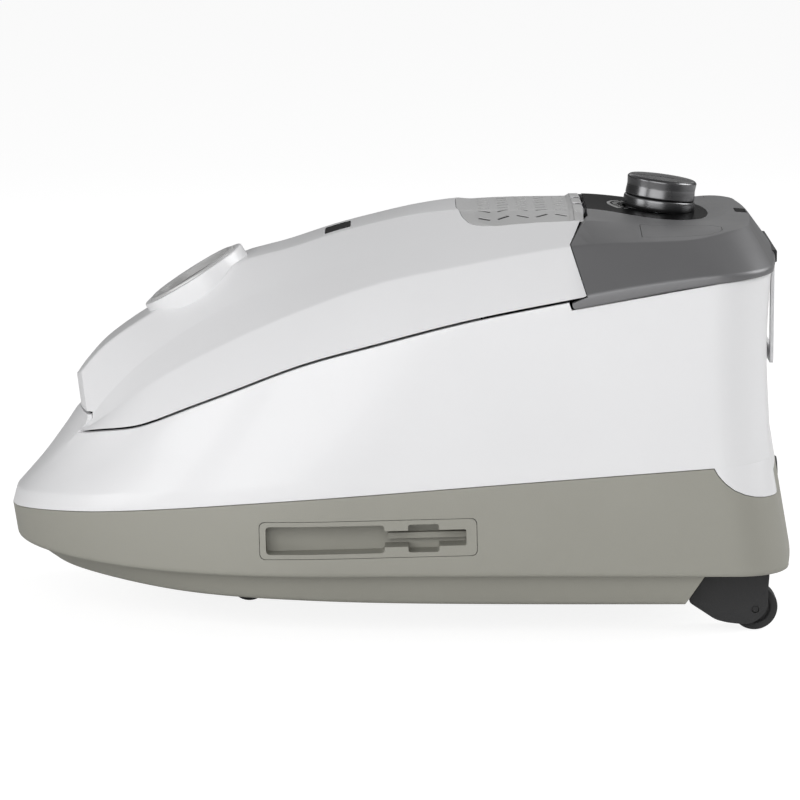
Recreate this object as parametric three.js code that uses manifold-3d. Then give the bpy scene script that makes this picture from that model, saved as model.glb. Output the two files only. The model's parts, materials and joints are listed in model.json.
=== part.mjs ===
// Canister vacuum cleaner, in millimetres.
// +X runs from the nose to the rear, +Y to the far side, +Z up; the floor is z = 0.
import * as THREE from "three";
import { mergeVertices } from "three/addons/utils/BufferGeometryUtils.js";
import Module from "manifold-3d";

const wasm = await Module();
wasm.setup();

// ---------------------------------------------------------------------------
// Driving dimensions
// ---------------------------------------------------------------------------
const CLEARANCE = 0.3; // between a piece and its seat
const WALL = 2.6; // moulded shells
const TOP_WALL = 3.4; // lid and control panel
const SEAM = 1.5; // gap round the lid
const LIP_X = 90.6; // where the lid ends and the control panel begins, on the seam

const BODY_HALF = 119.5; // half the width, at the shoulder
// How far in from that each other level of the shell stands.
const DRAFT = { keelBottom: 10.5, keelTop: 4.5, band: -3.5, belt: -0.5, waist: 1, seam: 2.5 };

// Plan outlines of the body, one per level. nose and rear are x on the centre line,
// facet is where the flat at the nose ends, mid is where the nose curve meets the side.
const KEEL_BOTTOM = {
  nose: -196, facet: [-193, 18], mid: -25, half: BODY_HALF - DRAFT.keelBottom, rear: 206, corner: 25, crown: 6,
};
const KEEL_TOP = {
  nose: -212, facet: [-209.5, 20], mid: -25, half: BODY_HALF - DRAFT.keelTop, rear: 209, corner: 27, crown: 6,
};
const BAND_BOTTOM = {
  nose: -217, facet: [-216, 14], mid: -30, half: BODY_HALF - DRAFT.band, rear: 220, corner: 30, crown: 6,
};
const BELT = {
  nose: -220, facet: [-219, 12], mid: -30, half: BODY_HALF - DRAFT.belt, rear: 209, corner: 30, crown: 6,
};
const SHOULDER = {
  nose: -217.5, facet: [-215.5, 17], mid: -28, half: BODY_HALF, rear: 207.5, corner: 30, crown: 6,
};
const WAIST = {
  nose: -202, facet: [-197, 30], mid: 5, half: BODY_HALF - DRAFT.waist, rear: 205.4, corner: 31, crown: 6,
};
const SEAM_RING = {
  nose: -189, facet: [-180, 42], mid: 30, half: BODY_HALF - DRAFT.seam, rear: 208, corner: 33, crown: 6,
};
const SOFT_EDGE = { nose: -184, facet: [-175.5, 43], mid: 60, half: 95, rear: 195.5, corner: 42, crown: 3 };
// The two levels above the soft edge have half widths that are given along x.
const BEAK_WIDTH = {
  nose: -180.5, rear: 185,
  width: [[-174.5, 40], [-120, 46], [-50, 55], [90, 64], [106, 57], [146, 52], [168, 43], [180, 26], [185, 0]],
};
const TOP_WIDTH = {
  nose: -183, rear: 174,
  width: [[-179.4, 19], [-150, 20], [-60, 23], [8, 25], [31, 29], [100, 36], [146, 45], [162, 41], [171, 24], [174, 0]],
};
const LIP_PROUD = 1.8; // how far the lower edge of the control panel stands out

// Heights along x, as points that a smooth curve passes through.
const KEEL_BOTTOM_Z = [[-196, 28], [-172, 27], [-116, 23], [-50, 21.2], [0, 20], [220, 19.5]];
const BAND_BOTTOM_Z = [[-217, 40], [-169, 37.8], [-115, 36.8], [0, 37.4], [220, 37.8]];
const BELT_Z = [[-220, 57.8], [-208, 60.6], [-165, 66.6], [-120, 72.4], [-79, 77], [0, 83.6], [220, 101]];
const SEAM_Z = [
  [-220, 103.2], [-180, 103.6], [-166, 106.8], [-145, 111.7], [-134, 116.1], [-120, 122.6], [-96, 133.1],
  [-54, 150.8], [-11, 163.8], [33, 175.6], [92, 187.7], [100, 189.2],
];
const LIP_BOTTOM_Z = [[92.6, 183.7], [172, 198.1], [187, 199.6], [215, 202]];
const LIP_TOP_Z = [[97, 190.8], [101, 191.8], [172, 202.8], [187, 203.4], [215, 204.5]];
const SOFT_EDGE_Z = [
  [-184, 110.5], [-175.5, 107.5], [-163.5, 115], [-137, 135.3], [-96, 159.2], [-51, 180.2], [-11, 194.8],
  [33, 204.6], [92, 215.2], [164, 219.4], [181, 222.2], [195.5, 223.2],
];
const PANEL_EDGE_Z = [[105, 224], [146, 222.9], [185, 224]]; // the crease between the dial's deck and the pedals
const TOP_CREASE_Z = [
  [-183, 130.5], [-179.4, 135], [-169, 147], [-158, 156], [-143, 166], [-88, 197.8], [-76, 201.3],
  [-65, 204.1], [-36, 213.5], [-11, 220], [8, 224.2], [31, 227.2], [75, 228.8], [100, 228.8], [146, 223.8], [174, 222.8],
];
const SHOULDER_RISE = 9; // of the shoulder above the belt line

// ---------------------------------------------------------------------------
// Solids
// ---------------------------------------------------------------------------
function solid(geometry) {
  const bare = geometry.index ? geometry.toNonIndexed() : geometry.clone();
  bare.deleteAttribute("normal");
  bare.deleteAttribute("uv");
  const merged = mergeVertices(bare, 1e-4);
  const vertProperties = merged.attributes.position.array;
  const triVerts = new Uint32Array(merged.index.array);
  const made = new wasm.Manifold(new wasm.Mesh({ numProp: 3, vertProperties, triVerts }));
  if (made.volume() >= 0) return made;
  triVerts.reverse();
  return new wasm.Manifold(new wasm.Mesh({ numProp: 3, vertProperties, triVerts }));
}

// The cubic through points [x, z] that keeps flat stretches flat, read at x.
function smoothAt(points, x) {
  const last = points.length - 1;
  if (x <= points[0][0]) return points[0][1];
  if (x >= points[last][0]) return points[last][1];
  const i = points.findIndex((p, k) => k < last && x <= points[k + 1][0]);
  const grade = (k) => (points[k + 1][1] - points[k][1]) / (points[k + 1][0] - points[k][0]);
  const slope = (k) => {
    if (k === 0) return grade(0);
    if (k === last) return grade(last - 1);
    return grade(k - 1) * grade(k) <= 0 ? 0 : (grade(k - 1) + grade(k)) / 2;
  };
  const [x0, z0] = points[i];
  const [x1, z1] = points[i + 1];
  const h = x1 - x0;
  const t = (x - x0) / h;
  const a = 2 * t ** 3 - 3 * t ** 2 + 1;
  const b = t ** 3 - 2 * t ** 2 + t;
  const c = 3 * t ** 2 - 2 * t ** 3;
  const d = t ** 3 - t ** 2;
  return a * z0 + b * h * slope(i) + c * z1 + d * h * slope(i + 1);
}

function box(x0, x1, y0, y1, z0, z1) {
  const shape = new THREE.BoxGeometry(x1 - x0, y1 - y0, z1 - z0);
  return solid(shape.translate((x0 + x1) / 2, (y0 + y1) / 2, (z0 + z1) / 2));
}

function outline(points) {
  return new THREE.Shape(points.map(([a, b]) => new THREE.Vector2(a, b)));
}

// A side-view outline of [x, z] points, from y0 to y1.
function prismY(points, y0, y1) {
  const shape = new THREE.ExtrudeGeometry(outline(points), { depth: y1 - y0, bevelEnabled: false });
  return solid(shape.rotateX(Math.PI / 2).translate(0, y1, 0));
}

// A plan outline of [x, y] points, from z0 to z1.
function prismZ(points, z0, z1) {
  const shape = new THREE.ExtrudeGeometry(outline(points), { depth: z1 - z0, bevelEnabled: false });
  return solid(shape.translate(0, 0, z0));
}

const UP = new THREE.Vector3(0, 1, 0);

function placed(shape, origin, direction) {
  const turn = new THREE.Quaternion().setFromUnitVectors(UP, new THREE.Vector3(...direction).normalize());
  return shape.applyQuaternion(turn).translate(...origin);
}

// A turned piece: a profile of [radius, height] points round an axis.
function turned(profile, origin, direction, sides = 24) {
  const points = profile.map(([r, h]) => new THREE.Vector2(r, h));
  const open = profile[0][0] === 0 && profile[profile.length - 1][0] === 0;
  if (!open) points.push(points[0].clone());
  return solid(placed(new THREE.LatheGeometry(points, sides), origin, direction));
}

function rod(radius, from, to, sides = 16) {
  const a = new THREE.Vector3(...from);
  const along = new THREE.Vector3(...to).sub(a);
  const profile = [[0, 0], [radius, 0], [radius, along.length()], [0, along.length()]];
  return turned(profile, from, along.toArray(), sides);
}

function washer(outer, inner, from, to, sides = 24) {
  const along = new THREE.Vector3(...to).sub(new THREE.Vector3(...from));
  const h = along.length();
  return turned([[inner, 0], [outer, 0], [outer, h], [inner, h]], from, along.toArray(), sides);
}

// A convex outline moved in by d on every side.
function insetOutline(points, d) {
  const n = points.length;
  const area = points.reduce((s, [x, y], i) => {
    const [u, v] = points[(i + 1) % n];
    return s + x * v - u * y;
  }, 0);
  const side = Math.sign(area) * d;
  const line = (i) => {
    const [x0, y0] = points[i];
    const [x1, y1] = points[(i + 1) % n];
    const l = Math.hypot(x1 - x0, y1 - y0);
    const [ux, uy] = [(x1 - x0) / l, (y1 - y0) / l];
    return { x: x0 - uy * side, y: y0 + ux * side, ux, uy };
  };
  return points.map((_, i) => {
    const a = line((i + n - 1) % n);
    const b = line(i);
    const cross = a.ux * b.uy - a.uy * b.ux;
    const t = ((b.x - a.x) * b.uy - (b.y - a.y) * b.ux) / cross;
    return [a.x + a.ux * t, a.y + a.uy * t];
  });
}

// ---------------------------------------------------------------------------
// Body envelope: closed rings, one per level, joined by a skin
// ---------------------------------------------------------------------------
const NOSE_STEPS = 8;
const SIDE_STEPS = 7;
const CORNER_STEPS = 4;
const REAR_STEPS = 2;

// The near half of a plan outline, from the centre of the nose to the centre of the rear.
function planOf(plan, inset) {
  const nose = plan.nose + inset;
  const facetX = plan.facet[0] + inset;
  const facetY = plan.facet[1] - inset * 0.4;
  const half = plan.half - inset;
  const corner = plan.corner - inset;
  const rear = plan.rear - inset;
  const points = [[nose, 0], [facetX, facetY]];
  const start = Math.asin(facetY / half);
  const reach = (plan.mid - facetX) / Math.cos(start);
  for (let i = 1; i < NOSE_STEPS; i++) {
    const angle = start + ((Math.PI / 2 - start) * i) / (NOSE_STEPS - 1);
    points.push([plan.mid - reach * Math.cos(angle), half * Math.sin(angle)]);
  }
  const cornerX = rear - plan.crown - corner;
  for (let i = 1; i <= SIDE_STEPS; i++) points.push([plan.mid + ((cornerX - plan.mid) * i) / SIDE_STEPS, half]);
  for (let i = 1; i <= CORNER_STEPS; i++) {
    const angle = (Math.PI / 2) * (i / CORNER_STEPS);
    points.push([cornerX + corner * Math.sin(angle), half - corner * (1 - Math.cos(angle))]);
  }
  for (let i = 1; i <= REAR_STEPS; i++) {
    const y = (half - corner) * (1 - i / REAR_STEPS);
    points.push([rear - plan.crown * (y / (half - corner)) ** 2, y]);
  }
  return points;
}

function level(plan, heights, inset, lift = 0) {
  return planOf(plan, inset).map(([x, y]) => [x, y, smoothAt(heights, x) + lift]);
}

function between(a, b, share) {
  return a.map((p, i) => p.map((v, k) => v + (b[i][k] - v) * share));
}

// A skin over rings that follow each other. Each end is closed across, straight or by way
// of a ridge line, or the last ring joins the first.
function skin(rings, { first = null, last = null, loop = false }) {
  const count = rings[0].length;
  const around = 2 * (count - 1);
  const at = (ring, i) => (i < count ? [ring[i][0], -ring[i][1], ring[i][2]] : ring[around - i]);
  const positions = [];
  const same = (a, b) => Math.hypot(a[0] - b[0], a[1] - b[1], a[2] - b[2]) < 1e-4;
  const triangle = (a, b, c) => {
    if (!same(a, b) && !same(b, c) && !same(a, c)) positions.push(...a, ...b, ...c);
  };
  const quad = (a, b, c, d) => {
    triangle(a, b, c);
    triangle(a, c, d);
  };
  const cap = (ring, ridge, up) => {
    for (let i = 0; i + 1 < count; i++) {
      const [a, b] = [at(ring, i), at(ring, i + 1)];
      const [c, d] = [at(ring, (around - i) % around), at(ring, around - i - 1)];
      const [e, f] = [ridge[i], ridge[i + 1]];
      if (up) quad(a, b, f, e);
      else quad(e, f, b, a);
      if (up) quad(e, f, d, c);
      else quad(c, d, f, e);
    }
  };
  const pairs = rings.slice(1).map((ring, r) => [rings[r], ring]);
  if (loop) pairs.push([rings[rings.length - 1], rings[0]]);
  for (const [low, high] of pairs) {
    for (let i = 0; i < around; i++) {
      const j = (i + 1) % around;
      quad(at(low, i), at(low, j), at(high, j), at(high, i));
    }
  }
  if (first) cap(rings[0], first, false);
  if (last) cap(rings[rings.length - 1], last, true);
  const shape = new THREE.BufferGeometry();
  shape.setAttribute("position", new THREE.Float32BufferAttribute(positions, 3));
  return solid(shape);
}

const across = (ring) => ring.map(([x, , z]) => [x, 0, z]);

// A level whose width is given along x, with its stations spread like those of the soft edge.
function widthPlan({ nose, rear, width }, inset) {
  const guide = planOf(SOFT_EDGE, inset);
  const [g0, g1] = [guide[1][0], guide[guide.length - 1][0]];
  const [x0, x1] = [width[0][0] + inset, rear - inset];
  return guide.map(([gx], i) => {
    if (i === 0) return [nose + inset, 0];
    const x = x0 + ((gx - g0) * (x1 - x0)) / (g1 - g0);
    const y = i === guide.length - 1 ? 0 : smoothAt(width, Math.min(x + inset * 0.9, rear)) - inset * 0.6;
    return [x, Math.max(y, 0)];
  });
}

function upperRings(inset) {
  const drop = -(TOP_WALL / WALL) * inset;
  const soft = level(SOFT_EDGE, SOFT_EDGE_Z, inset, drop);
  const crease = widthPlan(TOP_WIDTH, inset).map(([x, y]) => [x, y, smoothAt(TOP_CREASE_Z, x) + drop]);
  const beak = widthPlan(BEAK_WIDTH, inset).map(([x, y], i) => {
    const share = (soft[i][1] - y) / Math.max(soft[i][1] - crease[i][1], 1);
    const onFacet = soft[i][2] + (crease[i][2] - soft[i][2]) * (i < 2 ? 0.4 : share);
    return [x, y, x > PANEL_EDGE_Z[0][0] ? smoothAt(PANEL_EDGE_Z, x) + drop : onFacet];
  });
  return { soft, beak, crease, ridge: across(crease) };
}

// Seam level: the lid's edge in front, then the lower edge of the control panel behind.
function seamLevel(inset, rear, lift = 0) {
  return planOf(SEAM_RING, inset).map(([x, y]) => [x, y, smoothAt(x < LIP_X ? SEAM_Z : rear, x) + lift]);
}

function lowerRings(inset) {
  return [
    level(KEEL_BOTTOM, KEEL_BOTTOM_Z, inset, inset),
    level(KEEL_TOP, BAND_BOTTOM_Z, inset, inset),
    level(BAND_BOTTOM, BAND_BOTTOM_Z, inset, inset),
  ];
}

function wallRings(inset, lift) {
  const shoulder = level(SHOULDER, BELT_Z, inset, SHOULDER_RISE);
  const seam = seamLevel(inset, LIP_TOP_Z);
  const plan = planOf(WAIST, inset);
  const waist = between(shoulder, seam, 0.5).map(([, , z], i) => [...plan[i], z]);
  return [level(BELT, BELT_Z, inset, lift), shoulder, waist, seam];
}

// The whole body as one solid, inset by a wall, for cutting shells from.
function envelope(inset) {
  const { soft, beak, crease, ridge } = upperRings(inset);
  const low = lowerRings(inset);
  return skin([...low, ...wallRings(inset, 0), soft, beak, crease], { first: across(low[0]), last: ridge });
}

const REACH = 300; // cutters run this far past the body

// What lies above (or below) a line of [x, z] points.
function halfSpace(line, above) {
  const z = above ? REACH : -REACH;
  const [start, end] = [line[0], line[line.length - 1]];
  const closed = [...line, [Math.max(end[0], REACH), end[1]], [Math.max(end[0], REACH), z]];
  closed.push([start[0], z]);
  return prismY(closed, -REACH, REACH);
}

// ---------------------------------------------------------------------------
// Nodes
// ---------------------------------------------------------------------------
const WHITE = { color: 0xe2e3e5, roughness: 0.35 };
const SILVER = { color: 0xadadad, roughness: 0.45, metalness: 0.3 };
const WARM_GREY = { color: 0x918f86, roughness: 0.6 };
const METALLIC = { color: 0x68686a, roughness: 0.35, metalness: 0.6 };
const CHROME = { color: 0x8f8f90, roughness: 0.25, metalness: 0.9 };
const GLOSS_BLACK = { color: 0x0c0c0d, roughness: 0.15 };
const BLACK = { color: 0x2a2a2b, roughness: 0.6 };
const DARK_GREY = { color: 0x4a4b4d, roughness: 0.65 };
const RUBBER = { color: 0x1c1c1d, roughness: 0.85 };
const STEEL = { color: 0xb9bbbe, roughness: 0.3, metalness: 1 };
const COPPER = { color: 0xb0764a, roughness: 0.4, metalness: 0.8 };
const CLOTH = { color: 0xe9e6dc, roughness: 0.95 };
const CARD = { color: 0xb79d78, roughness: 0.9 };
const BOARD = { color: 0x2f5a3a, roughness: 0.6 };

const root = new THREE.Group();

function add(name, made, look) {
  const mesh = made.getMesh();
  const shape = new THREE.BufferGeometry();
  shape.setAttribute("position", new THREE.BufferAttribute(new Float32Array(mesh.vertProperties), 3));
  shape.setIndex(new THREE.BufferAttribute(new Uint32Array(mesh.triVerts), 1));
  shape.computeVertexNormals();
  const node = new THREE.Mesh(shape, new THREE.MeshStandardMaterial(look));
  node.name = name;
  root.add(node);
}

// ---- Base: the grey tub that carries everything ----
const KEEL_END = [[155, -REACH], [156, 20], [167, 38]]; // slanted end of the keel, ahead of the rear castors
const KEEL_END_TOP = KEEL_END[2][1];
const DIP = [[168.8, 99], [176, 89], [181, 83.6], [188, 81], [197, 79.5]]; // where the white shell reaches down
const TAIL_HALF = 88; // raised middle of the base at the rear
const TAIL_TOP = 91;

function keelEndCut(inset) {
  const line = KEEL_END.map(([x, z]) => [x - inset, z + (z > 30 ? inset : 0)]);
  return prismY([...line, [REACH, line[2][1]], [REACH, -REACH]], -REACH, REACH);
}

function dipRegion(gap) {
  const line = DIP.map(([x, z]) => [x + gap, z + gap]);
  const above = halfSpace([[line[0][0], line[0][1]], ...line.slice(1)], true);
  const tail = box(150, REACH, -TAIL_HALF - gap, TAIL_HALF + gap, -REACH, TAIL_TOP + gap);
  return above.subtract(tail);
}

const POST_RADIUS = 5;
const floorAt = (x) => smoothAt(KEEL_BOTTOM_Z, x) + WALL; // top of the base's floor
const CHAMBER_Z = 48; // underside of the dust chamber
const CHAMBER_POSTS = [[-126, 34], [-58, 66], [24, 70]];
const DECK_Z = 196; // underside of the motor cover
const DECK_POST = { x: 182, y: 92, radius: 4 };

const CASTOR = { pin: 4, boss: 8, bossHeight: 14, width: 24, wheelWidth: 13, axle: 1.8, play: 0.4 };
const REAR_CASTOR = { x: 186, y: 77, ceiling: KEEL_END_TOP, radius: 12.8, trail: 10 };
const FRONT_CASTOR = { x: -96, y: 0, ceiling: 33, radius: 11, trail: 10 };
const WELL_RADIUS = 25;
const MOTOR_RIB = { x0: 176.3, x1: 179, y0: -66, y1: -22, top: 80 };

const SLOT = { x0: -76.3, x1: 41.7, height: 20, depth: 15, tilt: 0.026, z: 58.5 };

// A box along x that is tilted up to the rear about the middle of the parking slot.
function slotBox(x0, x1, y0, y1, z0, z1) {
  const shape = new THREE.BoxGeometry(x1 - x0, y1 - y0, z1 - z0);
  shape.translate((x0 + x1) / 2, (y0 + y1) / 2, (z0 + z1) / 2);
  return solid(shape.rotateY(-SLOT.tilt).translate((SLOT.x0 + SLOT.x1) / 2, 0, SLOT.z));
}

function slotBlock(side, grow) {
  const half = (SLOT.x1 - SLOT.x0) / 2 + grow;
  const high = SLOT.height / 2 + grow;
  const inner = BELT.half - SLOT.depth - grow;
  const [y0, y1] = side < 0 ? [-REACH, -inner] : [inner, REACH];
  return slotBox(-half, half, y0, y1, -high, high);
}

const CORD_OUTLET = { y: 52, z: 62, radius: 9 };
const SERVICE = { x0: 20, x1: 130, half: 62, thickness: 2 };

function castorBoss({ x, ceiling }, y) {
  const outer = rod(CASTOR.boss, [x, y, ceiling + 0.5], [x, y, ceiling + CASTOR.bossHeight]);
  return { outer, bore: rod(CASTOR.pin + CASTOR.play, [x, y, 0], [x, y, REACH]) };
}

function baseTub() {
  const outer = lowerRings(0);
  const inner = lowerRings(WALL);
  const belt = level(BELT, BELT_Z, 0);
  const hollow = skin([...inner, level(BELT, BELT_Z, WALL, 1)], {
    first: across(inner[0]), last: across(level(BELT, BELT_Z, WALL, 1)),
  });
  let tub = skin([...outer, belt], { first: across(outer[0]), last: across(belt) }).subtract(keelEndCut(0));
  tub = tub.subtract(hollow.subtract(keelEndCut(WALL)));
  tub = tub.subtract(dipRegion(0));
  for (const [x, y] of CHAMBER_POSTS) {
    for (const side of [-1, 1]) {
      tub = tub.add(rod(POST_RADIUS, [x, side * y, floorAt(x) - 1], [x, side * y, CHAMBER_Z - CLEARANCE], 10));
    }
  }
  const { x0: ribX, x1: ribEnd, y0: ribY0, y1: ribY1, top: ribTop } = MOTOR_RIB;
  tub = tub.add(box(ribX, ribEnd, ribY0, ribY1, KEEL_END_TOP + 1, ribTop));
  const { x, ceiling } = FRONT_CASTOR;
  tub = tub.add(rod(WELL_RADIUS + WALL, [x, 0, floorAt(x) - 1], [x, 0, ceiling + WALL], 32));
  tub = tub.subtract(rod(WELL_RADIUS, [x, 0, 0], [x, 0, ceiling], 32));
  for (const [castor, y] of [[FRONT_CASTOR, 0], [REAR_CASTOR, -REAR_CASTOR.y], [REAR_CASTOR, REAR_CASTOR.y]]) {
    const { outer: boss, bore } = castorBoss(castor, y);
    tub = tub.add(boss).subtract(bore);
  }
  for (const side of [-1, 1]) {
    const { x: px, y: py, radius } = DECK_POST;
    tub = tub.add(rod(radius, [px, side * py, KEEL_END_TOP + 1], [px, side * py, DECK_Z - CLEARANCE], 10));
    const guard = slotBlock(side, WALL);
    const kept = guard.intersect(skin([...outer, belt], { first: across(outer[0]), last: across(belt) }));
    tub = tub.add(kept).subtract(slotBlock(side, CLEARANCE));
  }
  return tub;
}

// ---- Upper housing, lid and control panel ----
const HANDLE = { x: 207.2, z: 202.8, rod: 2, pin: 1, half: 37, bar: 9, bottom: 141.8, x0: 206.6, x1: 208.4 };
const HOLD = { x0: 202.2, x1: 209.2, half: HANDLE.half + 5, z0: 199.6, z1: 205, top: 206.4, back: 1.8 };
const HANDLE_BAY = box(
  HOLD.x0 - CLEARANCE, REACH, -HOLD.half - CLEARANCE, HOLD.half + CLEARANCE, HOLD.z0 - CLEARANCE, HOLD.top + CLEARANCE,
);
// Shallow recess in the rear wall that the folded handle lies in.
const HANDLE_RECESS = box(
  HANDLE.x0 - CLEARANCE, REACH, -HANDLE.half - 2 * CLEARANCE, HANDLE.half + 2 * CLEARANCE,
  HANDLE.bottom - 1, HOLD.z1,
);
const LIP_FRONT = LIP_X + 0.5;
const STRIP = { x: -172, half: 41, top: 113.5 }; // flat strip at the nose that runs up under the beak
const HINGE = {
  x: 99.8, z: 225.9, pin: 1.4, barrel: 3, half: 26, lug: 8, lugY: 14, lugEnd: 112, relief: 1, swing: 52,
};
const hingeRod = (radius, y0, y1, sides) => rod(radius, [HINGE.x, y0, HINGE.z], [HINGE.x, y1, HINGE.z], sides);
const LID_REAR = [
  [LIP_X + 1.4, 180], [LIP_X + 1.7, 187.9], [100.5, 191.3], [92.2, 216], [101.2, 227.1], [101.4, 229], [101.4, REACH],
];
const PANEL_FRONT = [
  [LIP_X + 2.3, 170], [LIP_X + 2.3, 187.4], [101.1, 190.8], [92.8, 216], [103.6, 227.3], [103.6, REACH],
];

function lipLine(lift) {
  return LIP_BOTTOM_Z.map(([x, z]) => [x, z + lift]);
}

const onOutlet = (x) => [x, CORD_OUTLET.y, CORD_OUTLET.z];
const OUTLET_CUT = rod(CORD_OUTLET.radius, onOutlet(150), onOutlet(260), 20);
const BODY = envelope(0);
const ROOM = envelope(WALL);

function upperHousing() {
  const rings = wallRings(0, CLEARANCE);
  const inside = wallRings(WALL, CLEARANCE);
  let shell = skin([...rings, ...inside.reverse()], { loop: true });
  const [front, ...rest] = lipLine(-CLEARANCE);
  const step = [[LIP_FRONT - 20, smoothAt(SEAM_Z, LIP_FRONT - 20)], [LIP_FRONT, smoothAt(SEAM_Z, LIP_FRONT)]];
  const lipCut = halfSpace([...step, front, ...rest], true);
  const wall = BODY.subtract(ROOM);
  const dip = wall.intersect(dipRegion(CLEARANCE)).intersect(box(150, REACH, -REACH, REACH, 0, 103));
  shell = shell.add(dip).subtract(lipCut);
  const strip = wall.intersect(box(-REACH, STRIP.x, -STRIP.half, STRIP.half, 98, STRIP.top));
  return shell.add(strip).subtract(HANDLE_BAY).subtract(HANDLE_RECESS);
}

function lidBody() {
  const outer = upperRings(0);
  const inner = upperRings(WALL);
  const edge = seamLevel(0, SEAM_Z, SEAM);
  const innerEdge = seamLevel(WALL, SEAM_Z, SEAM);
  const outerSkin = skin([edge, outer.soft, outer.beak, outer.crease], {
    first: across(edge), last: outer.ridge,
  });
  const below = innerEdge.map(([x, y, z]) => [x, y, z - 1]);
  const innerSkin = skin([below, innerEdge, inner.soft, inner.beak, inner.crease], {
    first: across(below), last: inner.ridge,
  });
  const rear = prismY([...LID_REAR, [REACH, 300], [REACH, 150], [LIP_X + 1.4, 150]], -REACH, REACH);
  const strip = box(-REACH, STRIP.x + CLEARANCE, -STRIP.half - SEAM, STRIP.half + SEAM, 0, STRIP.top + SEAM);
  return { outerSkin, innerSkin, rear, strip };
}

// ---- Dust chamber plan, shared by the tub, its seal and the lid's rib ----
const CHAMBER_REAR = 44;
const CHAMBER_SIDE = [[-150, 40], [-120, 64], [-60, 86], [CHAMBER_REAR, 86]]; // far half
const CHAMBER_PLAN = [...CHAMBER_SIDE.map(([x, y]) => [x, -y]), ...CHAMBER_SIDE.toReversed()];
const CHAMBER_WALL = 2.4;
const RIM = [[-160, 99.5], [60, 175]]; // the chamber's rim, a plane that rises to the rear
const SEAL_HEIGHT = 4;
const SEAL_WIDTH = 5;

const rimRing = (grow) => insetOutline(CHAMBER_PLAN, -grow);

function rimLine(lift) {
  return RIM.map(([x, z]) => [x, z + lift]);
}

// ---- Hose socket, square to the slope of the lid ----
const SOCKET = {
  x: -116.8, z: 187, slope: 0.562, bore: 24, tube: 27.6, boss: 32, bossTop: 0.5, proud: 1.7, length: 33,
};
const SOCKET_AXIS = [-Math.sin(SOCKET.slope), 0, Math.cos(SOCKET.slope)];
const socketPoint = (h) => [SOCKET.x + SOCKET_AXIS[0] * h, 0, SOCKET.z + SOCKET_AXIS[2] * h];

// ---- Exhaust grille, sunk into the lid behind the window ----
const GRILLE = { x1: 96, thickness: 1.6, sink: 1.2 };
const GRILLE_SIDE = [[31.5, 20], [34.5, 38], [38.3, 47], [43.5, 52], [53, 55], [GRILLE.x1, 56]]; // near half of its outline
const GRILLE_SLOTS = { x0: 46.8, columns: 5, step: 10.6, rows: 9, pitch: 10.5, length: 8, width: 2, turn: 0.55 };
const GRILLE_BAY = { width: 7.6, half: 30 }; // opening in the lid under each column but the last, at the hinge

// ---- Window for the dust bag indicator ----
const WINDOW = { x0: -42, x1: -28, half: 14, thickness: 1.2 };

// The top layer of the body, down to a depth, inside a plan outline.
function topLayer(points, depth, sink = 0) {
  const shift = (drop) => {
    const { soft, beak, crease, ridge } = upperRings(0);
    const lowered = [soft, beak, crease, ridge].map((ring) => ring.map(([x, y, z]) => [x, y, z - drop]));
    const base = lowered[0].map(([x, y]) => [x, y, 60]);
    return skin([base, ...lowered.slice(0, 3)], { first: across(base), last: lowered[3] });
  };
  return shift(sink).subtract(shift(sink + depth)).intersect(prismZ(points, 100, REACH));
}

function rectangle(x0, x1, half) {
  return [[x0, -half], [x1, -half], [x1, half], [x0, half]];
}

// ---- Lid ----
const LATCH_SILL = STRIP.top + 2.7; // underside of its finger tab
const LATCH = {
  x: -168.5, z: LATCH_SILL + 11.3, pin: 1.5, half: 14, ear: 4, reach: 3.5, sill: LATCH_SILL, head: LATCH_SILL + 6.3,
};
const BARREL_WEB = [
  [86, HINGE.z - 2.1], [86, HINGE.z + 2], [HINGE.x, HINGE.z + HINGE.barrel], [HINGE.x, HINGE.z - HINGE.barrel],
];

function grillePlan(grow) {
  const near = GRILLE_SIDE.map(([x, y]) => [x < GRILLE.x1 ? x - grow : x + grow, y + grow]);
  return [...near.map(([x, y]) => [x, -y]), ...near.reverse()];
}

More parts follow.
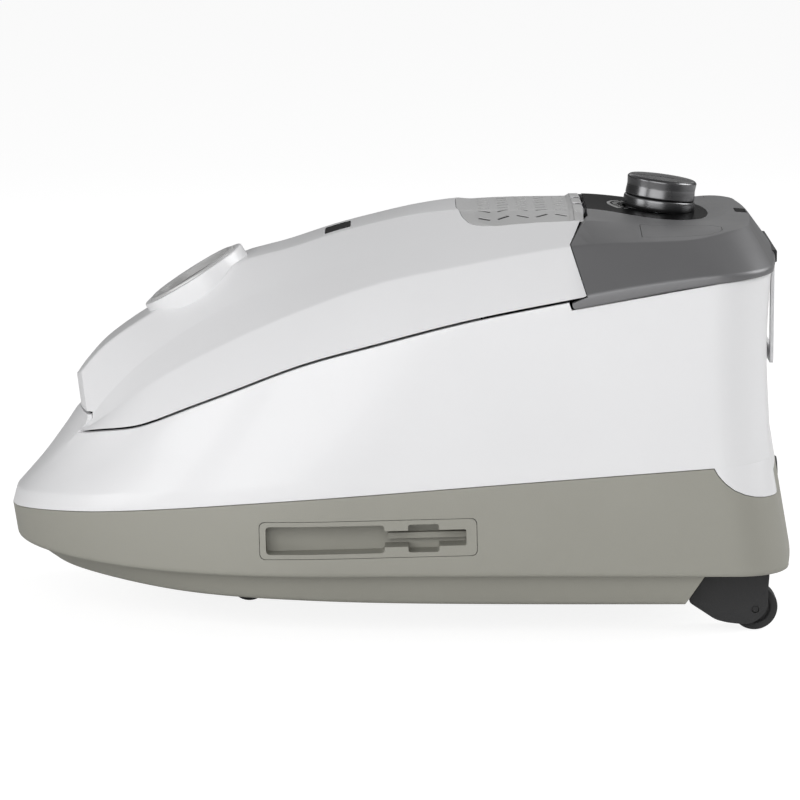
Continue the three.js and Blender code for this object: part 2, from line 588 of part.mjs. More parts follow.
function lidSolid() {
  const { outerSkin, innerSkin, rear, strip } = lidBody();
  let lid = outerSkin.subtract(innerSkin);
  const rib = prismZ(CHAMBER_PLAN, 90, REACH).subtract(prismZ(rimRing(-CHAMBER_WALL), 90, REACH));
  lid = lid.add(rib.intersect(halfSpace(rimLine(SEAL_HEIGHT + 2 * CLEARANCE), true)).intersect(outerSkin));
  lid = lid.subtract(rear).subtract(strip);
  lid = lid.add(prismY(BARREL_WEB, -HINGE.half, HINGE.half));
  lid = lid.add(hingeRod(HINGE.barrel, -HINGE.half, HINGE.half, 16));
  const latchHalf = LATCH.half + CLEARANCE;
  for (const side of [-1, 1]) {
    const [y0, y1] = side < 0 ? [-latchHalf - LATCH.ear, -latchHalf] : [latchHalf, latchHalf + LATCH.ear];
    const ear = box(LATCH.x - LATCH.reach, LATCH.x + LATCH.reach, y0, y1, LATCH.z - LATCH.reach, REACH);
    lid = lid.add(ear.intersect(outerSkin));
  }
  lid = lid.subtract(hingeRod(HINGE.pin + CLEARANCE, -HINGE.swing, HINGE.swing, 12));
  const pinReach = LATCH.half + LATCH.ear - 1;
  lid = lid.subtract(rod(LATCH.pin + CLEARANCE, [LATCH.x, -pinReach, LATCH.z], [LATCH.x, pinReach, LATCH.z], 10));
  lid = lid.add(topLayer(grillePlan(2), 3, TOP_WALL - 0.5).subtract(rear));
  for (const side of [-1, 1]) {
    const half = HINGE.lug / 2 + CLEARANCE;
    const y = side * HINGE.lugY;
    lid = lid.subtract(box(HINGE.x - HINGE.barrel - 1.5, REACH, y - half, y + half, HINGE.z - 12, REACH));
  }
  lid = lid.subtract(topLayer(grillePlan(CLEARANCE), GRILLE.sink + GRILLE.thickness + CLEARANCE + 2, -2));
  lid = lid.subtract(box(-REACH, LATCH.x, -latchHalf, latchHalf, 90, LATCH.head + CLEARANCE));
  const frame = rectangle(WINDOW.x0 - CLEARANCE, WINDOW.x1 + CLEARANCE, WINDOW.half + CLEARANCE);
  lid = lid.subtract(topLayer(frame, WINDOW.thickness + CLEARANCE + 2, -2));
  const { width, half: bayHalf } = GRILLE_BAY;
  for (let i = 0; i < GRILLE_SLOTS.columns - 1; i++) {
    const x = GRILLE_SLOTS.x0 + i * GRILLE_SLOTS.step;
    lid = lid.subtract(box(x - width / 2, x + width / 2, -bayHalf, bayHalf, 200, REACH));
  }
  const boss = rod(SOCKET.boss, socketPoint(-40), socketPoint(SOCKET.bossTop), 32).subtract(innerSkin);
  return lid.add(boss).subtract(rod(SOCKET.tube + CLEARANCE, socketPoint(-60), socketPoint(60), 32));
}

function panelSolid() {
  const outer = upperRings(0);
  const inner = upperRings(WALL);
  const proud = planOf(SEAM_RING, -LIP_PROUD);
  const tucked = planOf(SEAM_RING, WALL);
  const at = (plan, heights, lift = 0) => plan.map(([x, y]) => [x, y, smoothAt(heights, x) + lift]);
  const low = at(proud, LIP_BOTTOM_Z);
  const hollowLow = at(tucked, LIP_BOTTOM_Z, -1);
  const shell = skin([low, at(proud, LIP_TOP_Z), outer.soft, outer.beak, outer.crease], {
    first: across(low), last: outer.ridge,
  });
  const hollow = skin([hollowLow, at(tucked, LIP_TOP_Z), inner.soft, inner.beak, inner.crease], {
    first: across(hollowLow), last: inner.ridge,
  });
  const keep = prismY([...PANEL_FRONT, [REACH, 300], [REACH, 170]], -REACH, REACH);
  // Room for the barrels, and beside them for the lid's rear edge as it swings down.
  const swing = hingeRod(HINGE.barrel + HINGE.relief, -HINGE.swing, HINGE.swing);
  let panel = shell.subtract(hollow).intersect(keep).subtract(swing);
  for (const side of [-1, 1]) {
    const [y0, y1] = [side * HINGE.lugY - HINGE.lug / 2, side * HINGE.lugY + HINGE.lug / 2];
    const lug = [
      [HINGE.x, HINGE.z - HINGE.barrel], [HINGE.lugEnd, HINGE.z - HINGE.barrel - 1], [HINGE.lugEnd, HINGE.z],
      [HINGE.x, HINGE.z],
    ];
    panel = panel.add(prismY(lug, y0, y1)).add(hingeRod(HINGE.barrel, y0, y1));
  }
  return panel.subtract(hingeRod(HINGE.pin + CLEARANCE, -HINGE.swing, HINGE.swing, 12)).subtract(HANDLE_BAY);
}

// ---- Control panel: dial, pedals and lens ----
const DIAL = {
  x: 145.3, z: 223.8, tilt: 0.129, skirt: 20.2, knob: 19.6, seam: 7.2, top: 19.8, shaft: 3, bore: 4,
};
const DIAL_AXIS = [DIAL.tilt, 0, Math.sqrt(1 - DIAL.tilt ** 2)];
const dialPoint = (h) => [DIAL.x + DIAL_AXIS[0] * h, 0, DIAL.z + DIAL_AXIS[2] * h];
const PLATE = { edge: 1.5, x0: 103.8, thickness: 1.6 };
const PEDAL = {
  x0: 132, x1: 176, y0: 60, y1: 85, cut: 7, flange: 1.2, under: 4 * CLEARANCE,
  stem: 3, stemX: 148, stemY: 78, stemTop: 216,
};
const SPRING = { x: 166, y: 76, top: 212.5, radius: 5, wire: 0.6, turns: 3 };
const LENS = { x0: 188.5, x1: 194.5, half: 9, thickness: 2 };

// The flat top of the panel, inside its crease.
function platePlan(edge) {
  const near = widthPlan(TOP_WIDTH, 0).filter(([x, y]) => x > PLATE.x0 && y > 0);
  const rear = TOP_WIDTH.rear - edge;
  const half = near.map(([x, y]) => [Math.min(x, rear), y - edge]).filter(([, y]) => y > 8);
  const front = [PLATE.x0 + (edge - PLATE.edge), smoothAt(TOP_WIDTH.width, PLATE.x0) - edge];
  const loop = [front, ...half, [rear, 10 - edge]];
  return [...loop.map(([x, y]) => [x, -y]), ...loop.reverse()];
}

function pedalPlan(side, grow) {
  const { x0, x1, y0, y1, cut } = PEDAL;
  const corners = [[x0, y0], [x1 - cut, y0], [x1, y0 + cut], [x1, y1 - cut], [x1 - cut, y1], [x0, y1]];
  return insetOutline(corners, -grow).map(([x, y]) => [x, side * y]);
}

function panelCut() {
  let cut = topLayer(platePlan(PLATE.edge - CLEARANCE), PLATE.thickness + CLEARANCE + 2, -2);
  cut = cut.add(rod(DIAL.bore, dialPoint(-20), dialPoint(20), 16));
  for (const side of [-1, 1]) cut = cut.add(prismZ(pedalPlan(side, CLEARANCE), 200, REACH));
  const lens = rectangle(LENS.x0 - CLEARANCE, LENS.x1 + CLEARANCE, LENS.half + CLEARANCE);
  return cut.add(topLayer(lens, LENS.thickness + CLEARANCE + 2, -2));
}

function pedal(side, stemBottom) {
  const under = TOP_WALL + PEDAL.under;
  const cap = topLayer(pedalPlan(side, 0), under + PEDAL.flange, 0);
  const flange = topLayer(pedalPlan(side, PEDAL.flange), PEDAL.flange, under);
  const at = (z) => [PEDAL.stemX, side * PEDAL.stemY, z];
  return cap.add(flange).add(rod(PEDAL.stem, at(stemBottom), at(PEDAL.stemTop), 12));
}

function spring(side, z0, z1) {
  const { x, y, radius, wire, turns } = SPRING;
  const steps = turns * 7;
  const points = [];
  for (let i = 0; i <= steps; i++) {
    const a = (i / 7) * 2 * Math.PI;
    const z = z0 + wire + ((z1 - z0 - 2 * wire) * i) / steps;
    points.push(new THREE.Vector3(x + radius * Math.cos(a), side * y + radius * Math.sin(a), z));
  }
  const section = outline([[wire, 0], [0, wire], [-wire, 0], [0, -wire]]);
  const path = new THREE.CatmullRomCurve3(points);
  return solid(new THREE.ExtrudeGeometry(section, { extrudePath: path, steps, bevelEnabled: false }));
}

add("base_tub", baseTub().subtract(OUTLET_CUT), WARM_GREY);
add("upper_housing", upperHousing(), WHITE);
add("lid", lidSolid(), WHITE);
add("control_panel", panelSolid().subtract(panelCut()), METALLIC);
add("hinge_pin", hingeRod(HINGE.pin, -HINGE.half, HINGE.half, 10), STEEL);

const plateHole = rod(DIAL.skirt + CLEARANCE, dialPoint(-20), dialPoint(20), 32);
add("dial_plate", topLayer(platePlan(PLATE.edge), PLATE.thickness, 0).subtract(plateHole), GLOSS_BLACK);
add("dial_skirt", turned([
  [DIAL.bore, 0.6], [DIAL.skirt, 0.6], [DIAL.skirt, DIAL.seam - 1], [DIAL.skirt - 1, DIAL.seam],
  [DIAL.bore, DIAL.seam],
], dialPoint(0), DIAL_AXIS, 32), CHROME);

function dialKnob() {
  const { seam, top, knob } = DIAL;
  const h = seam + 2 * CLEARANCE;
  const profile = [
    [0, h], [knob - 0.6, h], [knob, h + 0.6], [knob - 0.9, (h + top) / 2], [knob, top - 1.4], [knob - 1.4, top],
    [0, top],
  ];
  const groove = box(-knob, knob * 0.35, -1, 1, top - 0.8, top + 5);
  const turnTo = new THREE.Matrix4().makeBasis(
    new THREE.Vector3(DIAL_AXIS[2], 0, -DIAL_AXIS[0]), new THREE.Vector3(0, 1, 0), new THREE.Vector3(...DIAL_AXIS),
  ).setPosition(...dialPoint(0));
  const mark = groove.transform(turnTo.toArray());
  const bore = rod(DIAL.shaft + CLEARANCE, dialPoint(h - 1), dialPoint(top - 4), 12);
  return turned(profile, dialPoint(0), DIAL_AXIS, 32).subtract(mark).subtract(bore);
}
add("dial_knob", dialKnob(), CHROME);
add("dial_shaft", rod(DIAL.shaft, dialPoint(-16.5), dialPoint(DIAL.top - 4 - CLEARANCE), 12), STEEL);
const POT = { radius: 9, top: -9.3, bottom: -18.8 };
const potBore = rod(DIAL.shaft + CLEARANCE, dialPoint(-16.8), dialPoint(5), 12);
add("potentiometer", rod(POT.radius, dialPoint(POT.bottom), dialPoint(POT.top), 16).subtract(potBore), DARK_GREY);
const BRAKE = {
  pivotX: 128, pivotZ: 172, pin: 2, y0: 82, y1: 86, shoeX: 104, shoe: 5, tab: 3, half: 5, endX: 148, endZ: 179,
};
const SWITCH = { z0: 198.7, z1: 208.5, half: 9, plungerTop: 213.4, plungerBottom: 204.2 };
add("power_pedal", pedal(-1, SWITCH.plungerTop + CLEARANCE), METALLIC);
add("rewind_pedal", pedal(1, BRAKE.endZ + CLEARANCE), METALLIC);
add("status_lens", topLayer(rectangle(LENS.x0, LENS.x1, LENS.half), LENS.thickness, 0), GLOSS_BLACK);

// ---- Lid furniture: grille, window, latch, socket and seal ----
function exhaustGrille() {
  let grille = topLayer(grillePlan(0), GRILLE.thickness, GRILLE.sink);
  const { x0, columns, step, rows, pitch, length, width, turn } = GRILLE_SLOTS;
  for (let i = 0; i < columns; i++) {
    for (let k = 0; k < rows; k++) {
      const bar = new THREE.BoxGeometry(length, width, 40);
      bar.rotateZ(i % 2 ? turn : -turn).translate(x0 + step * i, (k - (rows - 1) / 2) * pitch, 225);
      grille = grille.subtract(solid(bar));
    }
  }
  return grille;
}
add("exhaust_grille", exhaustGrille(), SILVER);
add("indicator_window", topLayer(rectangle(WINDOW.x0, WINDOW.x1, WINDOW.half), WINDOW.thickness, 0), GLOSS_BLACK);

function lidLatch() {
  const { x, z, sill, head, half, pin } = LATCH;
  const side = [[x - 22, sill], [x - 22, head], [x - 8, head], [x - 3, z + 2.5], [x + 3, z + 2.5], [x + 3, z - 3]];
  side.push([x - 1.5, sill - 6], [x - 5.5, sill - 6], [x - 5.5, sill]);
  const body = prismY(side, -half, half).intersect(lidBody().outerSkin);
  const reach = half + LATCH.ear - 1 - CLEARANCE;
  return body.add(rod(pin, [x, -reach, z], [x, reach, z], 10));
}
add("lid_latch", lidLatch(), WHITE);

const SOCKET_SEAL = { top: -33.3, bottom: -36.7 };
const BAG_CARD = { top: -37, bottom: -39.4, along: 40, half: 45, hole: 22 };
const HOLDER = { top: -39.7, bottom: -42.7, along: 40, half: 46, hole: 31, ear: 60, earAlong: 8, leg: 4 };
const tubeEnds = [socketPoint(-SOCKET.length), socketPoint(SOCKET.proud)];
add("hose_socket", washer(SOCKET.tube, SOCKET.bore, ...tubeEnds, 32), SILVER);
const sealEnds = [socketPoint(SOCKET_SEAL.bottom), socketPoint(SOCKET_SEAL.top)];
add("hose_seal", washer(SOCKET.tube + 1.4, SOCKET.bore, ...sealEnds, 24), RUBBER);

const sealWidth = (SEAL_WIDTH - CHAMBER_WALL) / 2;
add("lid_seal", prismZ(rimRing(sealWidth), 60, REACH)
  .subtract(prismZ(rimRing(-CHAMBER_WALL - sealWidth), 60, REACH))
  .intersect(halfSpace(rimLine(CLEARANCE), true))
  .intersect(halfSpace(rimLine(CLEARANCE + SEAL_HEIGHT), false)), RUBBER);

// ---- Dust chamber, bag and filter ----
const PORT = { y0: -77, y1: -10, z0: 64, z1: 130 }; // from the chamber to the motor
const FILTER = { x0: 35, x1: CHAMBER_REAR - CHAMBER_WALL - CLEARANCE, edge: 4 };
const SHELF = { x: CHAMBER_REAR - 1, width: 8, y: 72, z0: 158, z1: 169.4 }; // carries the front of the deck

function dustChamber() {
  const shell = prismZ(CHAMBER_PLAN, CHAMBER_Z, REACH);
  const room = prismZ(rimRing(-CHAMBER_WALL), CHAMBER_Z + CHAMBER_WALL, REACH);
  const port = box(CHAMBER_REAR - 4, CHAMBER_REAR + 6, PORT.y0, PORT.y1, PORT.z0, PORT.z1);
  let tub = shell.subtract(room).subtract(port).intersect(halfSpace(rimLine(0), false));
  const { x, width, y, z0, z1 } = SHELF;
  for (const side of [-1, 1]) {
    tub = tub.add(box(x, x + width, side * y - 6, side * y + 6, z0, z1));
  }
  return tub;
}
add("dust_chamber", dustChamber(), DARK_GREY);

// A flat plate square to the socket's axis.
function socketPlate(along, half, bottom, top) {
  const plate = new THREE.BoxGeometry(2 * along, top - bottom, 2 * half);
  const [ax, , az] = SOCKET_AXIS;
  const basis = new THREE.Matrix4().makeBasis(
    new THREE.Vector3(az, 0, -ax), new THREE.Vector3(ax, 0, az), new THREE.Vector3(0, -1, 0),
  );
  return solid(plate.applyMatrix4(basis.setPosition(...socketPoint((top + bottom) / 2))));
}

function bagHolder() {
  const { top, bottom, along, half, hole, ear, earAlong, leg } = HOLDER;
  let holder = socketPlate(along, half, bottom, top).add(socketPlate(earAlong, ear, bottom, top));
  holder = holder.subtract(rod(hole, socketPoint(bottom - 5), socketPoint(top + 5), 24));
  const [x, , z] = socketPoint((top + bottom) / 2);
  for (const side of [-1, 1]) {
    const [y0, y1] = side < 0 ? [-ear, leg - ear] : [ear - leg, ear];
    holder = holder.add(box(x - 5, x + 5, y0, y1, CHAMBER_Z + CHAMBER_WALL + CLEARANCE, z + 0.5));
  }
  return holder;
}
add("bag_holder", bagHolder(), SILVER);

const card = socketPlate(BAG_CARD.along, BAG_CARD.half, BAG_CARD.bottom, BAG_CARD.top);
add("bag_collar", card.subtract(rod(BAG_CARD.hole, socketPoint(-50), socketPoint(-20), 24)), CARD);

const BAG_SIDE = [
  [-138, 56], [-142, 80], [-128, 108], [-100, 128], [-60, 148], [-20, 158], [10, 156], [26, 140], [28, 60], [18, 51],
  [-122, 51],
];
const BAG = { half: 50, squeeze: 8, neck: 27 };
function dustBag() {
  const middle = prismY(BAG_SIDE, -BAG.half + BAG.squeeze, BAG.half - BAG.squeeze);
  const puff = prismY(insetOutline(BAG_SIDE, 4), -BAG.half, BAG.half);
  const neck = rod(BAG.neck, socketPoint(-70), socketPoint(BAG_CARD.bottom - CLEARANCE), 20);
  const space = prismZ(rimRing(-CHAMBER_WALL - 1.5), 0, REACH);
  return middle.add(puff).intersect(space).add(neck);
}
add("dust_bag", dustBag(), CLOTH);

function portBox(grow, deeper) {
  const { y0, y1, z0, z1 } = PORT;
  return box(FILTER.x0 - deeper, FILTER.x1 + deeper, y0 - grow, y1 + grow, z0 - grow, z1 + grow);
}
add("filter_frame", portBox(FILTER.edge, 0).subtract(portBox(0, 1)), DARK_GREY);
add("motor_filter", portBox(-CLEARANCE, 0), CLOTH);

// ---- Motor ----
const MOTOR = { y: -44, z: 97.5, x0: 50, x1: 172, radius: 56, wall: 2.5, shaft: 4 };
const onMotor = (x) => [x, MOTOR.y, MOTOR.z];
const motorTurned = (profile, sides = 22) => turned(profile.map(([x, r]) => [r, x]), onMotor(0), [1, 0, 0], sides);
const MOTOR_ROOM = MOTOR.radius - MOTOR.wall;

const MOUNT = { outer: 54, inner: 34, rearOuter: 52, rearInner: 12 };
const frontEnds = [onMotor(CHAMBER_REAR + CLEARANCE), onMotor(MOTOR.x0 - CLEARANCE)];
add("motor_mount_front", washer(MOUNT.outer, MOUNT.inner, ...frontEnds, 24), RUBBER);
add("motor_housing", motorTurned([
  [MOTOR.x0, MOTOR_ROOM], [MOTOR.x0, MOTOR.radius], [MOTOR.x1, MOTOR.radius], [MOTOR.x1, MOTOR.shaft + CLEARANCE],
  [MOTOR.x1 - 8, MOTOR.shaft + CLEARANCE], [MOTOR.x1 - 8, 10], [MOTOR.x1 - 3, 10], [MOTOR.x1 - 3, MOTOR_ROOM],
]), DARK_GREY);
const mountEnds = [onMotor(MOTOR.x1 + CLEARANCE), onMotor(MOTOR_RIB.x0 - CLEARANCE)];
add("motor_mount_rear", washer(MOUNT.rearOuter, MOUNT.rearInner, ...mountEnds, 20), RUBBER);
const FAN = { x0: MOTOR.x0 + 2, x1: 80, radius: MOTOR_ROOM - CLEARANCE, eye: 18, wall: 2, rim: 2.5 };
add("fan_cover", motorTurned([
  [FAN.x0, FAN.eye], [FAN.x0, FAN.radius], [FAN.x1, FAN.radius], [FAN.x1, FAN.radius - FAN.rim],
  [FAN.x0 + FAN.wall, FAN.radius - FAN.rim], [FAN.x0 + FAN.wall, FAN.eye],
]), STEEL);

const WHEEL = { x0: 57.5, x1: 72, radius: 44, hub: 9, disc: 2, blades: 7, blade: 1.4, lean: 5 };

function impeller() {
  const { x0, x1, radius, hub, disc, blades, blade, lean } = WHEEL;
  const bore = MOTOR.shaft + CLEARANCE;
  const face = x1 - disc;
  let wheel = motorTurned([[x0, bore], [x0, hub], [face, hub], [face, radius], [x1, radius], [x1, bore]]);
  const long = radius - hub - 1;
  for (let i = 0; i < blades; i++) {
    const vane = new THREE.BoxGeometry(face + 0.5 - x0, blade, long);
    vane.translate((x0 + face + 0.5) / 2, lean, hub + long / 2).rotateX((2 * Math.PI * i) / blades);
    wheel = wheel.add(solid(vane.translate(0, MOTOR.y, MOTOR.z)));
  }
  return wheel;
}
add("impeller", impeller(), STEEL);

const STATOR = { x0: 90, x1: 146, outer: 38, inner: 30, footLong: 14, footWide: 6 };
const ARMATURE = { x0: WHEEL.x0 - 1.5, x1: MOTOR.x1 - 2, coreX0: STATOR.x0 + 2, coreX1: STATOR.x1 - 4, radius: 26 };

function stator() {
  const { x0, x1, outer, inner, footLong, footWide } = STATOR;
  let ring = washer(outer, inner, onMotor(x0), onMotor(x1), 20);
  const high = MOTOR_ROOM + 1 - outer; // cut back to the housing's bore below
  for (let i = 0; i < 4; i++) {
    const foot = new THREE.BoxGeometry(footLong, footWide, high + 1);
    foot.translate((x0 + x1) / 2, 0, outer + (high - 1) / 2).rotateX((Math.PI / 2) * (i + 0.5));
    ring = ring.add(solid(foot.translate(0, MOTOR.y, MOTOR.z)));
  }
  return ring.intersect(rod(MOTOR_ROOM - CLEARANCE, onMotor(x0 - 1), onMotor(x1 + 1), 22));
}
add("stator", stator(), COPPER);

function armature() {
  const { x0, x1, coreX0, coreX1, radius } = ARMATURE;
  const { shaft } = MOTOR;
  return motorTurned([
    [x0, 0], [x0, shaft], [coreX0, shaft], [coreX0, radius], [coreX1, radius], [coreX1, shaft], [x1, shaft],
    [x1, 0],
  ], 20);
}
add("armature", armature(), STEEL);

// ---- Cord reel ----
const REEL = { x: 128, z: 98, radius: 62, hub: 30, y0: 24, y1: 80, flange: 2.5, axle: 5, cord: 50 };
const onReel = (y) => [REEL.x, y, REEL.z];
const reelTurned = (profile, sides = 24) => turned(profile.map(([y, r]) => [r, y]), onReel(0), [0, 1, 0], sides);
const REEL_BORE = REEL.axle + CLEARANCE;
add("cord_reel", reelTurned([
  [REEL.y0, REEL_BORE], [REEL.y0, REEL.radius], [REEL.y0 + REEL.flange, REEL.radius],
  [REEL.y0 + REEL.flange, REEL.hub], [REEL.y1 - REEL.flange, REEL.hub], [REEL.y1 - REEL.flange, REEL.radius],
  [REEL.y1, REEL.radius], [REEL.y1, REEL_BORE],
]), DARK_GREY);
const coil = [onReel(REEL.y0 + REEL.flange + CLEARANCE), onReel(REEL.y1 - REEL.flange - CLEARANCE)];
add("wound_cord", washer(REEL.cord, REEL.hub + CLEARANCE, ...coil, 24), RUBBER);
const BRACKET = { x0: 106, x1: 150, y0: 15.5, y1: 19.5, bottom: 23, top: 112 };
add("reel_axle", rod(REEL.axle, onReel(BRACKET.y1 + CLEARANCE), onReel(REEL.y1 + 8), 14), STEEL);
const SPRING_COVER = { radius: 30, length: 9 };
const coverEnds = [onReel(REEL.y1 + CLEARANCE), onReel(REEL.y1 + SPRING_COVER.length)];
add("spring_cover", washer(SPRING_COVER.radius, REEL_BORE, ...coverEnds, 20), STEEL);
add("reel_bracket", box(BRACKET.x0, BRACKET.x1, BRACKET.y0, BRACKET.y1, BRACKET.bottom, BRACKET.top), WARM_GREY);

// ---- Deck over the motor, with what sits on it ----
const DECK = {
  x0: CHAMBER_REAR + sealWidth + 2 * CLEARANCE, x1: 196, thickness: 2.4, front: 2.4, narrow: 88,
  stepX: 104, wallBottom: SHELF.z1 + 0.4,
};
const VENT = { x0: 56, x1: 84, half: 34 };
const CASSETTE = { x0: 49, x1: 88, half: 43, z1: 214, wall: 2 };
const PCB = { x0: 108, x1: 156, half: 32, z0: 201.2, z1: 202.8, post: 3 };
const DECK_TOP = DECK_Z + DECK.thickness;

function motorCover() {
  const wide = box(DECK.stepX, DECK.x1, -REACH, REACH, DECK_Z, DECK_TOP);
  let deck = box(DECK.x0, DECK.stepX + 1, -DECK.narrow, DECK.narrow, DECK_Z, DECK_TOP).add(wide);
  const wallHalf = DECK.narrow - 6;
  deck = deck.add(box(DECK.x0, DECK.x0 + DECK.front, -wallHalf, wallHalf, DECK.wallBottom, DECK_Z + 1));
  deck = deck.intersect(envelope(WALL + 2));
  deck = deck.subtract(box(VENT.x0, VENT.x1, -VENT.half, VENT.half, DECK_Z - 1, DECK_TOP + 1));
  for (const x of [PCB.x0 + 5, PCB.x1 - 5]) {
    for (const y of [5 - PCB.half, PCB.half - 5]) {
      deck = deck.add(rod(PCB.post, [x, y, DECK_TOP - 1], [x, y, PCB.z0 - CLEARANCE], 8));
    }
  }
  const { pivotX, pivotZ, y1, tab, half } = BRAKE;
  const [t0, t1] = [y1 + CLEARANCE, y1 + CLEARANCE + tab];
  deck = deck.add(box(pivotX - half, pivotX + half, t0, t1, pivotZ - half, DECK_Z + 1));
  deck = deck.subtract(rod(BRAKE.pin + CLEARANCE, [pivotX, t0 - 1, pivotZ], [pivotX, t1 + 1, pivotZ], 10));
  const { stemX, stemY } = PEDAL;
  return deck.subtract(rod(PEDAL.stem + 2, [stemX, stemY, DECK_Z - 10], [stemX, stemY, DECK_TOP + 1], 12));
}
add("motor_cover", motorCover(), DARK_GREY);

function filterCassette() {
  const { x0, x1, half, z1, wall } = CASSETTE;
  const z0 = DECK_TOP + CLEARANCE;
  const room = box(x0 + wall, x1 - wall, wall - half, half - wall, z0 + wall, z1 + 1);
  const under = box(VENT.x0, VENT.x1, -VENT.half, VENT.half, z0 - 1, z1);
  return box(x0, x1, -half, half, z0, z1).subtract(room).subtract(under);
}
add("filter_cassette", filterCassette(), WHITE);

function exhaustFilter() {
  const { x0, x1, half, z1, wall } = CASSETTE;
  const inside = wall + CLEARANCE;
  const pleats = [];
  const count = 8;
  const pitch = (2 * (half - inside)) / count;
  for (let i = 0; i < count; i++) {
    const y = inside - half + i * pitch;
    pleats.push([y, z1 - 4], [y + pitch / 2, z1 - 0.5]);
  }
  pleats.push([half - inside, z1 - 4], [half - inside, DECK_TOP + inside], [inside - half, DECK_TOP + inside]);
  const shape = new THREE.ExtrudeGeometry(outline(pleats), { depth: x1 - x0 - 2 * inside, bevelEnabled: false });
  const along = new THREE.Matrix4().makeBasis(
    new THREE.Vector3(0, 1, 0), new THREE.Vector3(0, 0, 1), new THREE.Vector3(1, 0, 0),
  );
  return solid(shape.applyMatrix4(along.setPosition(x0 + inside, 0, 0)));
}
add("exhaust_filter", exhaustFilter(), CLOTH);
add("circuit_board", box(PCB.x0, PCB.x1, -PCB.half, PCB.half, PCB.z0, PCB.z1), BOARD);

const switchAt = (z) => [PEDAL.stemX, -PEDAL.stemY, z];
const { stemX, stemY } = PEDAL;
const { half: swHalf } = SWITCH;
add("main_switch", box(stemX - swHalf, stemX + swHalf, -stemY - swHalf, swHalf - stemY, SWITCH.z0, SWITCH.z1)
  .subtract(rod(PEDAL.stem + CLEARANCE, switchAt(SWITCH.z0 + 1), switchAt(SWITCH.z1 + 1), 12)), BLACK);
add("switch_plunger", rod(PEDAL.stem, switchAt(SWITCH.plungerBottom), switchAt(SWITCH.plungerTop), 12), CHROME);
add("power_pedal_spring", spring(-1, DECK_TOP + CLEARANCE, SPRING.top), STEEL);
add("rewind_pedal_spring", spring(1, DECK_TOP + CLEARANCE, SPRING.top), STEEL);

function brakeLever() {
  const { pivotX, pivotZ, y0, y1, shoeX, endX, endZ } = BRAKE;
  const shoeZ = REEL.z + Math.sqrt((REEL.radius + BRAKE.shoe + CLEARANCE) ** 2 - (REEL.x - shoeX) ** 2);
  const arm = [
    [shoeX - 3, shoeZ - 2], [shoeX - 3, shoeZ + 3], [pivotX - 4, pivotZ + 5], [endX - 4, endZ], [endX + 5, endZ],
    [endX + 5, endZ - 4], [pivotX + 4, pivotZ - 4], [pivotX - 4, pivotZ - 4],
  ];
  const shoe = rod(BRAKE.shoe, [shoeX, REEL.y1 - 4, shoeZ], [shoeX, y1, shoeZ], 14);
  const { tab } = BRAKE;
  return prismY(arm, y0, y1).add(shoe).add(rod(BRAKE.pin, [pivotX, y0, pivotZ], [pivotX, y1 + tab, pivotZ], 10));
}
add("brake_lever", brakeLever(), DARK_GREY);

// ---- Carrying handle on the rear wall ----
const handleBore = rod(HANDLE.pin + CLEARANCE, [HANDLE.x, -REACH, HANDLE.z], [HANDLE.x, REACH, HANDLE.z], 12);

function carryHandle() {
  const { x, z, half, bar, bottom, x0, x1 } = HANDLE;
  const plate = box(x0, x1, -half, half, bottom, z);
  const gap = box(x0 - 1, x1 + 1, bar - half, half - bar, bottom + bar, z - 5);
  return plate.subtract(gap).add(rod(HANDLE.rod, [x, -half, z], [x, half, z], 12)).subtract(handleBore);
}
add("carry_handle", carryHandle(), WHITE);

function handleBracket() {
  const { x0, x1, half, z0, z1, top, back } = HOLD;
  const channel = HANDLE.half + CLEARANCE + 0.1;
  const side = [[x0, z0], [x1, z0], [x1, z1 + 0.4], [x1 - 1, top], [x0, top]];
  const block = prismY(side, -half, half);
  return block.subtract(box(x0 + back, REACH, -channel, channel, 0, z1 + 0.2)).subtract(handleBore);
}
add("handle_bracket", handleBracket(), BLACK);
const pinEnds = [-1, 1].map((side) => [HANDLE.x, side * (HOLD.half - CLEARANCE), HANDLE.z]);
add("handle_pin", rod(HANDLE.pin, ...pinEnds, 10), STEEL);

// ---- Parking slots for the floor tool, one in each side ----
const POCKET = {
  x0: -55.7, x1: 9, high: 7.6, neckHigh: 4.4, neckX: 53.4, notchX0: 21.8, notchX1: 38.6, deep: 12,
  rib: 1.6, ribHigh: 4,
};

function parkingSlot(side) {
  const { x0, x1, high, neckHigh, neckX, notchX0, notchX1, deep, rib, ribHigh } = POCKET;
  const floor = BELT.half - deep;
  const [y0, y1] = side < 0 ? [-REACH, -floor] : [floor, REACH];
  const pocket = slotBox(x0, x1, y0, y1, -high, high)
    .add(slotBox(x1 - 1, neckX, y0, y1, -neckHigh, neckHigh))
    .add(slotBox(notchX0, notchX1, y0, y1, -high, high));
  const [r0, r1] = side < 0 ? [-floor - ribHigh, 1 - floor] : [floor - 1, floor + ribHigh];
  return slotBlock(side, 0).intersect(BODY).subtract(pocket).add(slotBox(x1 + 2, neckX + 1, r0, r1, -rib, rib));
}
add("parking_slot_left", parkingSlot(-1), WARM_GREY);
add("parking_slot_right", parkingSlot(1), WARM_GREY);

const GROMMET = { x0: 206, face: 216.6, x1: 218.6, bore: 4.5, flange: 11.5 };
const bushing = CORD_OUTLET.radius - CLEARANCE;
add("cord_outlet", turned([
  [GROMMET.bore, 0], [bushing, 0], [bushing, GROMMET.face - GROMMET.x0], [GROMMET.flange, GROMMET.face - GROMMET.x0],
  [GROMMET.flange, GROMMET.x1 - GROMMET.x0], [GROMMET.bore, GROMMET.x1 - GROMMET.x0],
], onOutlet(GROMMET.x0), [1, 0, 0], 20), BLACK);

// ---- Castors ----
const HOOD = [
  [-19, 0], [-27, 17], [-12, 7.1], [-5.5, 5.4], [4, 4.4], [9, 5.2], [14.5, 9.5], [17, 14], [17, 24.6], [18, 0],
];
const HOOD_WHEEL = 12.8; // wheel radius the hood's outline is drawn for

